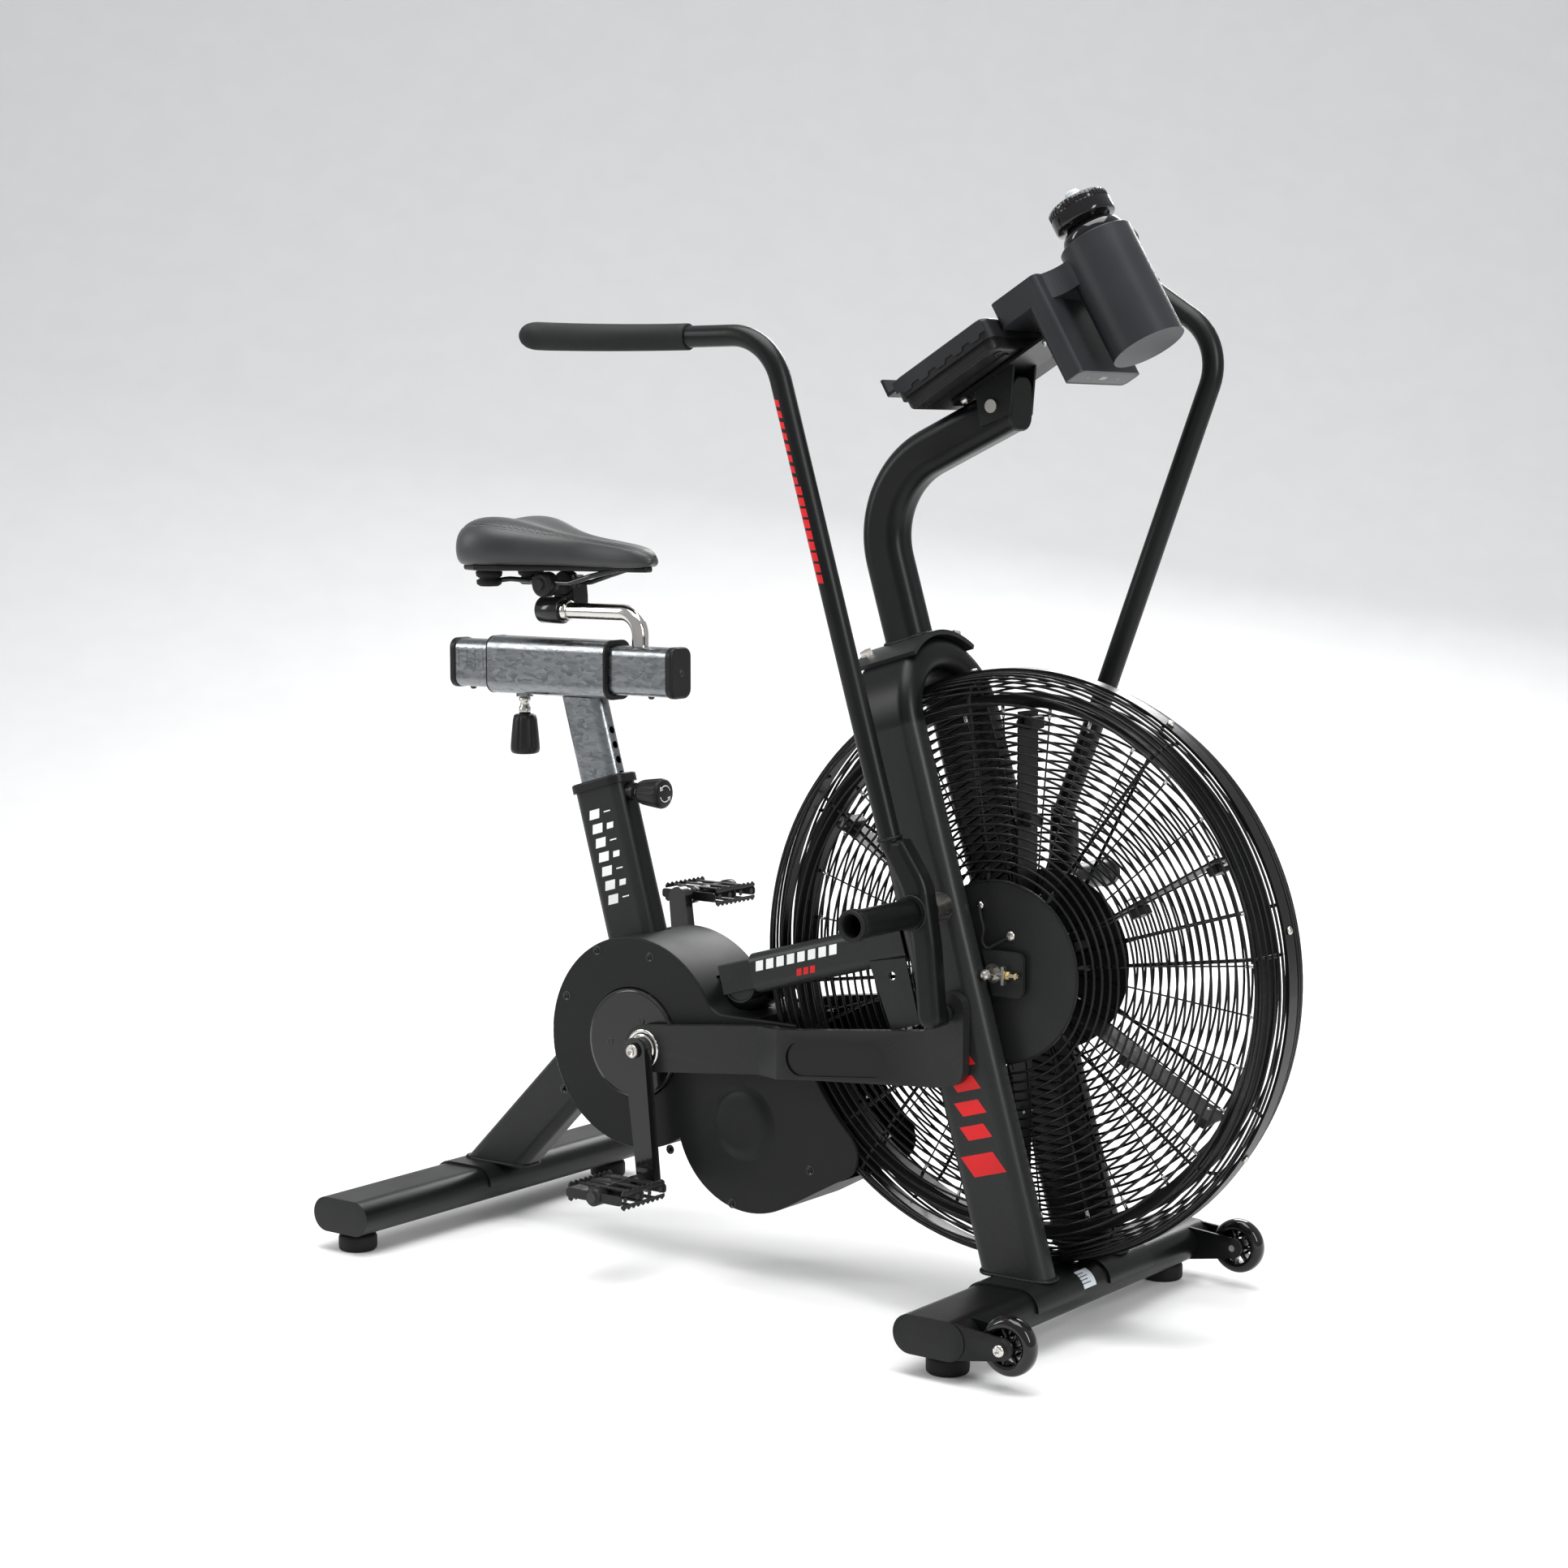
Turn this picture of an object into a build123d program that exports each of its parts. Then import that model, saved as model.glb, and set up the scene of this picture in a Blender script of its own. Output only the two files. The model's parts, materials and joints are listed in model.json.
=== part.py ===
"""Air bike: fan-resistance exercise bike with moving handle arms, in millimetres.

+X points forward (towards the fan), +Y to the rider's left, +Z up, floor at z = 0.
Most places are given as a distance forward of the crank axle (dx) and a height (z).
"""
import os
from math import atan2, cos, degrees, hypot, radians, sin

from build123d import *

os.makedirs("parts", exist_ok=True)

# ---------------------------------------------------------------- driving dimensions
CRANK_Z = 280.0          # crank axle height
CRANK_THROW = 34.0       # eccentric pin to crank axle
PEDAL_DX, PEDAL_DZ = 52.0, -167.0   # lower pedal axle from the crank axle
FAN_DX, FAN_Z = 551.0, 428.0        # fan axle
CAGE_R = 353.0           # wire cage, centre of the outermost wire
BAND_T = 3.5             # clamping band round the cage
ARM_DX, ARM_Z = 498.0, 506.0        # handle arm pivot
LOWER_DX, LOWER_Z = 520.0, 385.0    # lower end of the right lever at rest
ARM_SWING = 33.0         # full swing of a handle arm, degrees
JACK_DX, JACK_Z = 178.0, 198.0      # intermediate shaft
FRONT_BASE_DX, REAR_BASE_DX = 607.0, -312.0
BASE_W, BASE_H, BASE_WALL = 96.0, 46.0, 3.0
BASE_HALF = 288.0        # half length of both floor tubes
FOOT_R, FOOT_H = 25.0, 22.0
FOOT_GAP = 4.0           # levelling stem showing above the rubber
BASE_Z = FOOT_H + FOOT_GAP + BASE_H / 2
FRONT_FOOT_Y, REAR_FOOT_Y = 247.0, 256.0
LEAN = 16.25             # uprights lean back, degrees
LEG_W, LEG_T, LEG_R, WALL = 90.0, 40.0, 18.0, 2.5
LEG_Y = 82.0             # centre of an upright
CROWN_Z = 788.0          # centre of the tube at the crown's top
WHEEL_DX, WHEEL_Z, WHEEL_R, WHEEL_W = 703.0, 52.0, 34.0, 24.0
WHEEL_Y = 268.0
RUN = 0.05               # radial clearance of a running fit
GAP = 0.4                # gap between parts that move past each other
WRAP_T = 3.0             # saddle plates wrapped over the floor tubes
CRANK_X = -(FAN_DX + CAGE_R + BAND_T + REAR_BASE_DX - BASE_W / 2 - WRAP_T) / 2


def at(dx, y, z):
    """Point from its distance forward of the crank axle."""
    return (CRANK_X + dx, y, z)


def side(y=0.0, dx=0.0, z=0.0):
    """Upright plane facing -Y: sketch x is forward and sketch y is up."""
    return Plane(origin=at(dx, y, z), x_dir=(1, 0, 0), z_dir=(0, -1, 0))


def cross_axis(dx, z):
    """Sideways axis, along +Y, through a point of the side view."""
    return Axis(at(dx, 0, z), (0, 1, 0))


def along(start, end, x_dir):
    """Plane at start, facing end."""
    return Plane(origin=start, x_dir=x_dir, z_dir=Vector(*end) - Vector(*start))


def save(builder, name):
    """Label a finished piece and write its file."""
    builder.part.label = name
    export_step(builder.part, f"parts/{name}.step")


def left_twin(part, name, axis=None, angle=0.0):
    """Mirror image of a right-hand piece, turned about a sideways axis, as its own piece."""
    twin = part.mirror(Plane.XZ)
    if axis is not None:
        twin = twin.rotate(axis, angle)
    with BuildPart() as left:
        add(twin)
    save(left, name)
    return left


# ---------------------------------------------------------------- floor tubes
PLATE_T = 4.0            # end plates and fork plates
WRAP_HALF = 52.0         # half width of a saddle plate
FORK_GAP = 3.0           # wheel to fork plate
FORK_TIP_R = 13.0
AXLE_BOLT_R = 4.0
PLATE_RISE = 9.0         # half height of the fork plate's root above its tip

base_top = BASE_Z + BASE_H / 2 + WRAP_T
fork_outer_y = WHEEL_Y + WHEEL_W / 2 + FORK_GAP
fork_inner_y = WHEEL_Y - WHEEL_W / 2 - FORK_GAP - PLATE_T


def stadium(y, dx, z, length, height):
    """Upright stadium face at y, its middle at (dx, z)."""
    with BuildSketch(side(y, dx, z)) as face:
        SlotOverall(length, height)
    return face.sketch


def wrap_profile(y, dx):
    """Upper half of the thin band that wraps a floor tube."""
    with BuildSketch(side(y, dx, BASE_Z)) as face:
        SlotOverall(BASE_W + 2 * WRAP_T, BASE_H + 2 * WRAP_T)
        SlotOverall(BASE_W, BASE_H, mode=Mode.SUBTRACT)
        with Locations((0, -BASE_H / 2)):
            Rectangle(2 * BASE_W, BASE_H, mode=Mode.SUBTRACT)
    return face.sketch


def fork_profile(y):
    """Tapered plate from the front floor tube forward to the wheel bolt."""
    root = FRONT_BASE_DX + BASE_W / 2 - BASE_H / 2
    with BuildSketch(side(y)) as face:
        with BuildLine():
            Polyline((root, BASE_Z + BASE_H / 2 - 1), (WHEEL_DX, WHEEL_Z + FORK_TIP_R),
                     (WHEEL_DX, WHEEL_Z - FORK_TIP_R), (root, BASE_Z - BASE_H / 2 + 1), close=True)
        make_face()
        with Locations((WHEEL_DX, WHEEL_Z)):
            Circle(FORK_TIP_R)
            Circle(AXLE_BOLT_R + GAP, mode=Mode.SUBTRACT)
        with Locations((FRONT_BASE_DX, BASE_Z)):
            SlotOverall(BASE_W, BASE_H, mode=Mode.SUBTRACT)
    return face.sketch


with BuildPart() as front_stabiliser:
    extrude(stadium(BASE_HALF, FRONT_BASE_DX, BASE_Z, BASE_W, BASE_H), amount=2 * BASE_HALF)
    extrude(stadium(BASE_HALF - PLATE_T, FRONT_BASE_DX, BASE_Z, BASE_W - 2 * BASE_WALL,
                    BASE_H - 2 * BASE_WALL), amount=2 * (BASE_HALF - PLATE_T), mode=Mode.SUBTRACT)
    for wrap_y in (-LEG_Y, LEG_Y):
        extrude(wrap_profile(wrap_y + WRAP_HALF, FRONT_BASE_DX), amount=2 * WRAP_HALF)
    for plate_y in (fork_outer_y + PLATE_T, fork_inner_y + PLATE_T, -fork_outer_y, -fork_inner_y):
        extrude(fork_profile(plate_y), amount=PLATE_T)
save(front_stabiliser, "front_stabiliser")

with BuildPart() as rear_stabiliser:
    extrude(stadium(BASE_HALF, REAR_BASE_DX, BASE_Z, BASE_W, BASE_H), amount=2 * BASE_HALF)
    extrude(stadium(BASE_HALF - PLATE_T, REAR_BASE_DX, BASE_Z, BASE_W - 2 * BASE_WALL,
                    BASE_H - 2 * BASE_WALL), amount=2 * (BASE_HALF - PLATE_T), mode=Mode.SUBTRACT)
    extrude(wrap_profile(WRAP_HALF, REAR_BASE_DX), amount=2 * WRAP_HALF)
save(rear_stabiliser, "rear_stabiliser")

with BuildPart() as rubber_feet:
    for foot_dx, foot_y in ((FRONT_BASE_DX, FRONT_FOOT_Y), (REAR_BASE_DX, REAR_FOOT_Y)):
        for hand in (-1, 1):
            with BuildSketch(Plane(at(foot_dx, hand * foot_y, 0))):
                Circle(FOOT_R)
            extrude(amount=FOOT_H)
            with BuildSketch(Plane(at(foot_dx, hand * foot_y, FOOT_H))):
                Circle(FOOT_R / 2)
            extrude(amount=FOOT_GAP)
save(rubber_feet, "rubber_feet")

# ---------------------------------------------------------------- transport wheels
WHEEL_BORE = AXLE_BOLT_R + RUN
HUB_R = 15.0
SPOKES = 6

with BuildPart() as right_wheel:
    with BuildSketch(Plane(at(WHEEL_DX, -WHEEL_Y, WHEEL_Z), x_dir=(0, 1, 0), z_dir=(1, 0, 0))) as tyre:
        with BuildLine():
            Polyline((-9, HUB_R + 6), (-WHEEL_W / 2, WHEEL_R - 8), (-WHEEL_W / 2 + 3, WHEEL_R - 3),
                     (-5, WHEEL_R), (5, WHEEL_R), (WHEEL_W / 2 - 3, WHEEL_R - 3),
                     (WHEEL_W / 2, WHEEL_R - 8), (9, HUB_R + 6), close=True)
        make_face()
    revolve(axis=cross_axis(WHEEL_DX, WHEEL_Z))
    with BuildSketch(side(-WHEEL_Y, WHEEL_DX, WHEEL_Z)):
        Circle(HUB_R - 5)
        Circle(WHEEL_BORE, mode=Mode.SUBTRACT)
    extrude(amount=WHEEL_W / 2, both=True)
    with BuildSketch(side(-WHEEL_Y, WHEEL_DX, WHEEL_Z)):
        with PolarLocations((HUB_R + WHEEL_BORE) / 2 + 4, SPOKES):
            Rectangle(HUB_R + 3, 4)
        Circle(HUB_R - 6, mode=Mode.SUBTRACT)
    extrude(amount=8, both=True)
save(right_wheel, "right_wheel")
left_wheel = left_twin(right_wheel.part, "left_wheel")

# ---------------------------------------------------------------- uprights, crown and mast
up = Vector(-sin(radians(LEAN)), 0, cos(radians(LEAN)))
ahead = Vector(cos(radians(LEAN)), 0, sin(radians(LEAN)))


def leg_dx(z):
    """Forward place of an upright's centre line at a height."""
    return 602.7 - sin(radians(LEAN)) / cos(radians(LEAN)) * (z - 61.0)


crown_top = Vector(*at(leg_dx(CROWN_Z), 0, CROWN_Z))
crown_centre = crown_top - up * LEG_Y
leg_start_z = BASE_Z
leg_length = (crown_centre.Z - leg_start_z) / cos(radians(LEAN))
CUT_SIZE = 400.0


def tube_ring(plane, width, depth, radius, wall=WALL):
    """Hollow rounded-rectangle profile on a plane."""
    with BuildSketch(plane) as face:
        RectangleRounded(width, depth, radius)
        RectangleRounded(width - 2 * wall, depth - 2 * wall, radius - wall, mode=Mode.SUBTRACT)
    return face.sketch


with BuildPart() as right_upright:
    leg_plane = Plane(at(leg_dx(leg_start_z), -LEG_Y, leg_start_z), x_dir=ahead, z_dir=up)
    extrude(tube_ring(leg_plane, LEG_W, LEG_T, LEG_R), amount=leg_length)
    split(bisect_by=Plane.XY.offset(base_top), keep=Keep.TOP)
save(right_upright, "right_upright")
left_upright = left_twin(right_upright.part, "left_upright")

with BuildPart() as crown:
    crown_plane = Plane(crown_centre - Vector(0, LEG_Y, 0), x_dir=ahead, z_dir=up)
    revolve(tube_ring(crown_plane, LEG_W, LEG_T, LEG_R), axis=Axis(crown_centre, -ahead),
            revolution_arc=180)
save(crown, "crown")

MAST_W, MAST_T, MAST_R = 56.0, 44.0, 16.0
MAST_BEND_R = 110.0
MAST_CORNER = (327.4, 999.0)
MAST_END = (560.0, 1105.0)
MAST_CUT_DX = 538.0      # the head is cut off plumb
FLANGE_T, FLANGE_HALF, FLANGE_ANGLE = 6.0, 46.0, 38.0
FLANGE_BOLT_R = 5.0
crown_r = LEG_Y + LEG_T / 2
mast_start = (leg_dx(CROWN_Z - 20), CROWN_Z - 20)

with BuildPart() as mast:
    with BuildLine(side()) as mast_path:
        FilletPolyline(mast_start, MAST_CORNER, MAST_END, radius=MAST_BEND_R)
    mast_plane = along(at(mast_start[0], 0, mast_start[1]), at(MAST_CORNER[0], 0, MAST_CORNER[1]),
                       (0, 1, 0))
    sweep(tube_ring(mast_plane, MAST_T, MAST_W, MAST_R))
    with BuildSketch(Plane(crown_centre, x_dir=(0, 1, 0), z_dir=ahead)):
        Circle(crown_r + FLANGE_T)
    extrude(amount=CUT_SIZE, both=True, mode=Mode.SUBTRACT)
    split(bisect_by=Plane(at(MAST_CUT_DX, 0, 0), x_dir=(0, 1, 0), z_dir=(1, 0, 0)), keep=Keep.BOTTOM)
    with BuildSketch(Plane(crown_centre, x_dir=(0, 1, 0), z_dir=ahead)):
        with BuildLine():
            top = (sin(radians(FLANGE_ANGLE)), cos(radians(FLANGE_ANGLE)))
            inner, outer = crown_r, crown_r + FLANGE_T
            ThreePointArc((-inner * top[0], inner * top[1]), (0, inner), (inner * top[0], inner * top[1]))
            Line((inner * top[0], inner * top[1]), (outer * top[0], outer * top[1]))
            ThreePointArc((outer * top[0], outer * top[1]), (0, outer), (-outer * top[0], outer * top[1]))
            Line((-outer * top[0], outer * top[1]), (-inner * top[0], inner * top[1]))
        make_face()
    extrude(amount=FLANGE_HALF, both=True)
save(mast, "mast")

# ---------------------------------------------------------------- frame tubes
SEAT_TUBE_W, SEAT_TUBE_T, SEAT_TUBE_R = 80.0, 45.0, 15.0
SEAT_TUBE_TOP = 600.0
COLLAR_W, COLLAR_T, COLLAR_H = 88.0, 52.0, 12.0
BOSS_DX, BOSS_R = -46.0, 11.5       # threaded boss of the height knob
KNOB_Z, KNOB_R, STEM_R = 598.0, 20.0, 6.0
SEAT_LEAN = 15.9         # seat tube leans back, degrees
SEAT_REF = (-95.0, 586.0)           # a point on the seat tube's centre line
SHELL_R, SHELL_HALF = 30.0, 22.0    # bottom bracket shell
AXLE_R = 12.5
STRUT_W, STRUT_T, STRUT_R = 75.0, 45.0, 14.0
STRUT_FOOT = (-300.0, 60.0)
BEAM_W, BEAM_T, BEAM_R = 60.0, 44.0, 12.0
CROSS_DX, CROSS_Z, CROSS_R = 170.0, 374.0, 22.0
SIDE_W, SIDE_T, SIDE_R = 50.0, 30.0, 13.0
SIDE_LIFT = 10.0         # side tubes stand this far above the cross member's axis
SIDE_RISE = 15.5         # side tubes rise forward, degrees
SIDE_SETBACK = 46.0      # side tubes begin this far ahead of the cross member
STUB_INNER, STUB_H, STUB_LEN = 62.0, 38.0, 96.0     # lugs from the side tubes to the cross member
HANGER_T, HANGER_Y = 6.0, 14.0      # plates that carry the intermediate shaft
JACK_R = 10.0

seat_up = Vector(-sin(radians(SEAT_LEAN)), 0, cos(radians(SEAT_LEAN)))
seat_ahead = Vector(cos(radians(SEAT_LEAN)), 0, sin(radians(SEAT_LEAN)))


def seat_point(z):
    """Point on the seat tube's centre line at a height."""
    ref = Vector(*at(SEAT_REF[0], 0, SEAT_REF[1]))
    return ref + seat_up * ((z - SEAT_REF[1]) / seat_up.Z)


def disc(y, dx, z, radius):
    """Round face across the machine at y, to add or cut a round bar with."""
    with BuildSketch(side(y, dx, z)) as face:
        Circle(radius)
    return face.sketch


with BuildPart() as bottom_bracket:
    extrude(disc(SHELL_HALF, 0, CRANK_Z, SHELL_R), amount=2 * SHELL_HALF)
    extrude(disc(SHELL_HALF, 0, CRANK_Z, AXLE_R + RUN), amount=2 * SHELL_HALF,
            mode=Mode.SUBTRACT)
save(bottom_bracket, "bottom_bracket")

with BuildPart() as seat_tube:
    tube_base = seat_point(CRANK_Z)
    tube_len = (seat_point(SEAT_TUBE_TOP) - tube_base).length
    tube_plane = Plane(tube_base, x_dir=seat_ahead, z_dir=seat_up)
    with BuildSketch(tube_plane):
        RectangleRounded(SEAT_TUBE_W, SEAT_TUBE_T, SEAT_TUBE_R)
    extrude(amount=tube_len)
    with BuildSketch(Plane(at(BOSS_DX, 0, KNOB_Z), x_dir=(0, 1, 0), z_dir=(-1, 0, 0))):
        Circle(BOSS_R)
    extrude(amount=30)
    with BuildSketch(Plane(at(BOSS_DX, 0, KNOB_Z), x_dir=(0, 1, 0), z_dir=(-1, 0, 0))):
        Circle(STEM_R + RUN)
    extrude(amount=60, mode=Mode.SUBTRACT)
    with BuildSketch(tube_plane):
        RectangleRounded(SEAT_TUBE_W - 2 * WALL, SEAT_TUBE_T - 2 * WALL, SEAT_TUBE_R - WALL)
    extrude(amount=tube_len + 2 * COLLAR_H, mode=Mode.SUBTRACT)
    extrude(disc(SEAT_TUBE_T, 0, CRANK_Z, SHELL_R), amount=2 * SEAT_TUBE_T,
            mode=Mode.SUBTRACT)
    split(bisect_by=Plane.XY.offset(CRANK_Z + SHELL_R - 4), keep=Keep.TOP)
save(seat_tube, "seat_tube")

with BuildPart() as rear_strut:
    strut_dir = Vector(1, 0, 1).normalized()
    strut_side = Vector(1, 0, -1).normalized()
    strut_plane = Plane(at(STRUT_FOOT[0] - 40, 0, STRUT_FOOT[1] - 40), x_dir=strut_side, z_dir=strut_dir)
    extrude(tube_ring(strut_plane, STRUT_W, STRUT_T, STRUT_R), amount=370)
    split(bisect_by=Plane.XY.offset(base_top), keep=Keep.TOP)
    extrude(disc(STRUT_T, 0, CRANK_Z, SHELL_R), amount=2 * STRUT_T, mode=Mode.SUBTRACT)
    split(bisect_by=Plane(at(-24, 0, 0), x_dir=(0, 1, 0), z_dir=(1, 0, 0)), keep=Keep.BOTTOM)
save(rear_strut, "rear_strut")

beam_rise = degrees(atan2(CROSS_Z - CRANK_Z, CROSS_DX))
side_dir = Vector(cos(radians(SIDE_RISE)), 0, sin(radians(SIDE_RISE)))
side_up = Vector(-sin(radians(SIDE_RISE)), 0, cos(radians(SIDE_RISE)))

with BuildPart() as main_beam:
    beam_dir = Vector(cos(radians(beam_rise)), 0, sin(radians(beam_rise)))
    beam_up = Vector(-sin(radians(beam_rise)), 0, cos(radians(beam_rise)))
    beam_plane = Plane(at(0, 0, CRANK_Z), x_dir=(0, 1, 0), z_dir=beam_dir)
    extrude(tube_ring(beam_plane, BEAM_T, BEAM_W, BEAM_R), amount=hypot(CROSS_DX, CROSS_Z - CRANK_Z))
    extrude(disc(BEAM_T, 0, CRANK_Z, SHELL_R), amount=2 * BEAM_T, mode=Mode.SUBTRACT)
    split(bisect_by=Plane(at(30, 0, 0), x_dir=(0, 1, 0), z_dir=(1, 0, 0)), keep=Keep.TOP)
    extrude(disc(STUB_INNER, CROSS_DX, CROSS_Z, CROSS_R), amount=2 * STUB_INNER)
    for hanger_y in (HANGER_Y + HANGER_T, -HANGER_Y):
        with BuildSketch(side(hanger_y)):
            with BuildLine():
                Polyline((95, 312), (148, 327), (JACK_DX + 17, JACK_Z + 4), (JACK_DX + 12, JACK_Z - 14),
                         (JACK_DX - 12, JACK_Z - 14), (JACK_DX - 17, JACK_Z + 4), close=True)
            make_face()
        extrude(amount=HANGER_T)
        extrude(disc(hanger_y, JACK_DX, JACK_Z, JACK_R + RUN), amount=HANGER_T,
                mode=Mode.SUBTRACT)
save(main_beam, "main_beam")

with BuildPart() as side_tubes:
    for hand in (-1, 1):
        start = Vector(*at(CROSS_DX, hand * LEG_Y, CROSS_Z + SIDE_LIFT)) + side_dir * SIDE_SETBACK
        stub_t = LEG_Y - SIDE_T / 2 + 1 - STUB_INNER
        stub_at = start - side_dir * (STUB_LEN - 24) - Vector(0, hand * (SIDE_T / 2 + stub_t / 2 - 1), 0)
        with BuildSketch(Plane(stub_at, x_dir=(0, 1, 0), z_dir=side_dir)):
            RectangleRounded(stub_t, STUB_H, 2)
        extrude(amount=STUB_LEN)
        extrude(tube_ring(Plane(start, x_dir=(0, 1, 0), z_dir=side_dir), SIDE_T, SIDE_W, SIDE_R),
                amount=330)
        with BuildSketch(Plane(start, x_dir=(0, 1, 0), z_dir=side_dir)):
            RectangleRounded(SIDE_T, SIDE_W, SIDE_R)
        extrude(amount=WALL)
    leg_cut = Plane(at(leg_dx(leg_start_z), 0, leg_start_z) , x_dir=ahead, z_dir=up)
    with BuildSketch(leg_cut):
        with Locations((CUT_SIZE / 2 - LEG_W / 2, 0)):
            Rectangle(CUT_SIZE, CUT_SIZE)
    extrude(amount=2 * CUT_SIZE, mode=Mode.SUBTRACT)
save(side_tubes, "side_tubes")

BRACKET_T = 5.0
FAN_AXLE_R = 5.0
bracket_inner = LEG_Y - LEG_T / 2 + 2
leg_front = leg_dx(FAN_Z) + LEG_W / 2 / cos(radians(LEAN))

with BuildPart() as fan_brackets:
    for hand_y in (-bracket_inner, bracket_inner + BRACKET_T):
        with BuildSketch(side(hand_y, FAN_DX, FAN_Z)):
            with Locations((2, 0)):
                RectangleRounded(78, 54, 10)
            with Locations((-2, 0)):
                SlotOverall(34, 2 * FAN_AXLE_R + GAP, mode=Mode.SUBTRACT)
        extrude(amount=BRACKET_T)
    with BuildSketch(Plane(at(leg_dx(leg_start_z), 0, leg_start_z), x_dir=ahead, z_dir=up)):
        with Locations((LEG_W / 2 - CUT_SIZE / 2, 0)):
            Rectangle(CUT_SIZE, CUT_SIZE)
    extrude(amount=2 * CUT_SIZE, mode=Mode.SUBTRACT)
save(fan_brackets, "fan_brackets")

# ---------------------------------------------------------------- crank, pedals and links
DISC_R, DISC_INNER, DISC_OUTER = 71.0, 60.0, 68.0
PIN_R = 15.0
ARM_INNER, ARM_OUTER = 92.0, 106.0  # crank arm's faces
CRANK_TOP_W, CRANK_END_W = 34.0, 28.0
SPINDLE_R = 7.0
PEDAL_INNER, PEDAL_OUTER = 116.0, 214.0
CRANK_PULLEY_R, SMALL_PULLEY_R, BIG_PULLEY_R, FAN_PULLEY_R = 84.0, 28.0, 70.0, 35.0
FIRST_BELT_Y, SECOND_BELT_Y, BELT_W, BELT_T = 33.0, -46.0, 14.0, 3.0
DISC_HOLE_R, DISC_HOLE_PCR = 5.0, 38.0

with BuildPart() as crank_axle:
    extrude(disc(DISC_INNER, 0, CRANK_Z, AXLE_R), amount=2 * DISC_INNER)
    for face_y in (-DISC_INNER, DISC_OUTER):
        with BuildSketch(side(face_y, 0, CRANK_Z)):
            Circle(DISC_R)
            with PolarLocations(DISC_HOLE_PCR, 4, start_angle=60):
                Circle(DISC_HOLE_R, mode=Mode.SUBTRACT)
        extrude(amount=DISC_OUTER - DISC_INNER)
    extrude(disc(-DISC_OUTER, CRANK_THROW, CRANK_Z, PIN_R), amount=ARM_INNER - DISC_OUTER)
    extrude(disc(ARM_INNER, -CRANK_THROW, CRANK_Z, PIN_R), amount=ARM_INNER - DISC_OUTER)
save(crank_axle, "crank_axle")

with BuildPart() as crank_pulley:
    with BuildSketch(side(FIRST_BELT_Y + BELT_W / 2, 0, CRANK_Z)):
        Circle(CRANK_PULLEY_R)
        Circle(AXLE_R, mode=Mode.SUBTRACT)
        with PolarLocations(CRANK_PULLEY_R * 0.56, 5):
            Circle(15, mode=Mode.SUBTRACT)
    extrude(amount=BELT_W)
save(crank_pulley, "crank_pulley")

pin_at, pedal_at = (CRANK_THROW, CRANK_Z), (PEDAL_DX, CRANK_Z + PEDAL_DZ)
with BuildPart() as right_crank_arm:
    with BuildSketch(side(-ARM_INNER)):
        with Locations(pin_at):
            Circle(CRANK_TOP_W / 2)
        with Locations(pedal_at):
            Circle(CRANK_END_W / 2)
        make_hull()
    extrude(amount=ARM_OUTER - ARM_INNER)
    extrude(disc(-ARM_OUTER, pin_at[0], pin_at[1], 10), amount=4)
    extrude(disc(-ARM_OUTER, pin_at[0], pin_at[1], 5), amount=4, mode=Mode.SUBTRACT)
    extrude(disc(-ARM_OUTER, pedal_at[0], pedal_at[1], SPINDLE_R),
            amount=PEDAL_OUTER - ARM_OUTER)
    extrude(disc(-ARM_OUTER, pedal_at[0], pedal_at[1], SPINDLE_R + 4),
            amount=PEDAL_INNER - ARM_OUTER - 1)
save(right_crank_arm, "right_crank_arm")
left_crank_arm = left_twin(right_crank_arm.part, "left_crank_arm", cross_axis(0, CRANK_Z), 180)

PEDAL_LEN, PEDAL_H, PEDAL_RAIL = 84.0, 24.0, 3.5
BARREL_R = 12.0
RIB_COUNT = 5

with BuildPart() as right_pedal:
    extrude(disc(-PEDAL_INNER, pedal_at[0], pedal_at[1], BARREL_R),
            amount=PEDAL_OUTER - PEDAL_INNER)
    for end in (-1, 1):
        with BuildSketch(side(-PEDAL_INNER - 2)):
            with Locations((pedal_at[0] + end * (PEDAL_LEN / 2 - 6), pedal_at[1])):
                RectangleRounded(PEDAL_RAIL, PEDAL_H, 1.5)
        extrude(amount=PEDAL_OUTER - PEDAL_INNER - 4)
    for rib in (-PEDAL_INNER - 2, -PEDAL_OUTER + 2 + PEDAL_RAIL):
        with BuildSketch(side(rib)):
            with Locations(pedal_at):
                RectangleRounded(PEDAL_LEN, PEDAL_H - 4, 6)
        extrude(amount=PEDAL_RAIL)
    for rib in range(RIB_COUNT):
        rib_y = PEDAL_INNER + 14 + rib * (PEDAL_OUTER - PEDAL_INNER - 28) / (RIB_COUNT - 1)
        with BuildSketch(side(-rib_y + 1.5)):
            with Locations(pedal_at):
                Rectangle(PEDAL_LEN - 12, PEDAL_H - 12)
        extrude(amount=3)
    extrude(disc(-PEDAL_INNER, pedal_at[0], pedal_at[1], SPINDLE_R + RUN),
            amount=PEDAL_OUTER - PEDAL_INNER, mode=Mode.SUBTRACT)
    extrude(disc(-PEDAL_OUTER - 0.5, pedal_at[0], pedal_at[1], BARREL_R), amount=3)
    extrude(disc(-PEDAL_OUTER, pedal_at[0], pedal_at[1], BARREL_R), amount=0.5)
save(right_pedal, "right_pedal")
left_pedal = left_twin(right_pedal.part, "left_pedal", cross_axis(0, CRANK_Z), 180)

LINK_T = 14.0
LINK_REAR_Y, LINK_FRONT_Y = 74.0, 104.0     # inner faces of the link's two straights
LINK_BEND = (225.0, 275.0)
LINK_HUB_R = 30.0
PIVOT_R = 9.0
LINK_TILT = 0.9          # the left link rises forward, degrees

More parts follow.
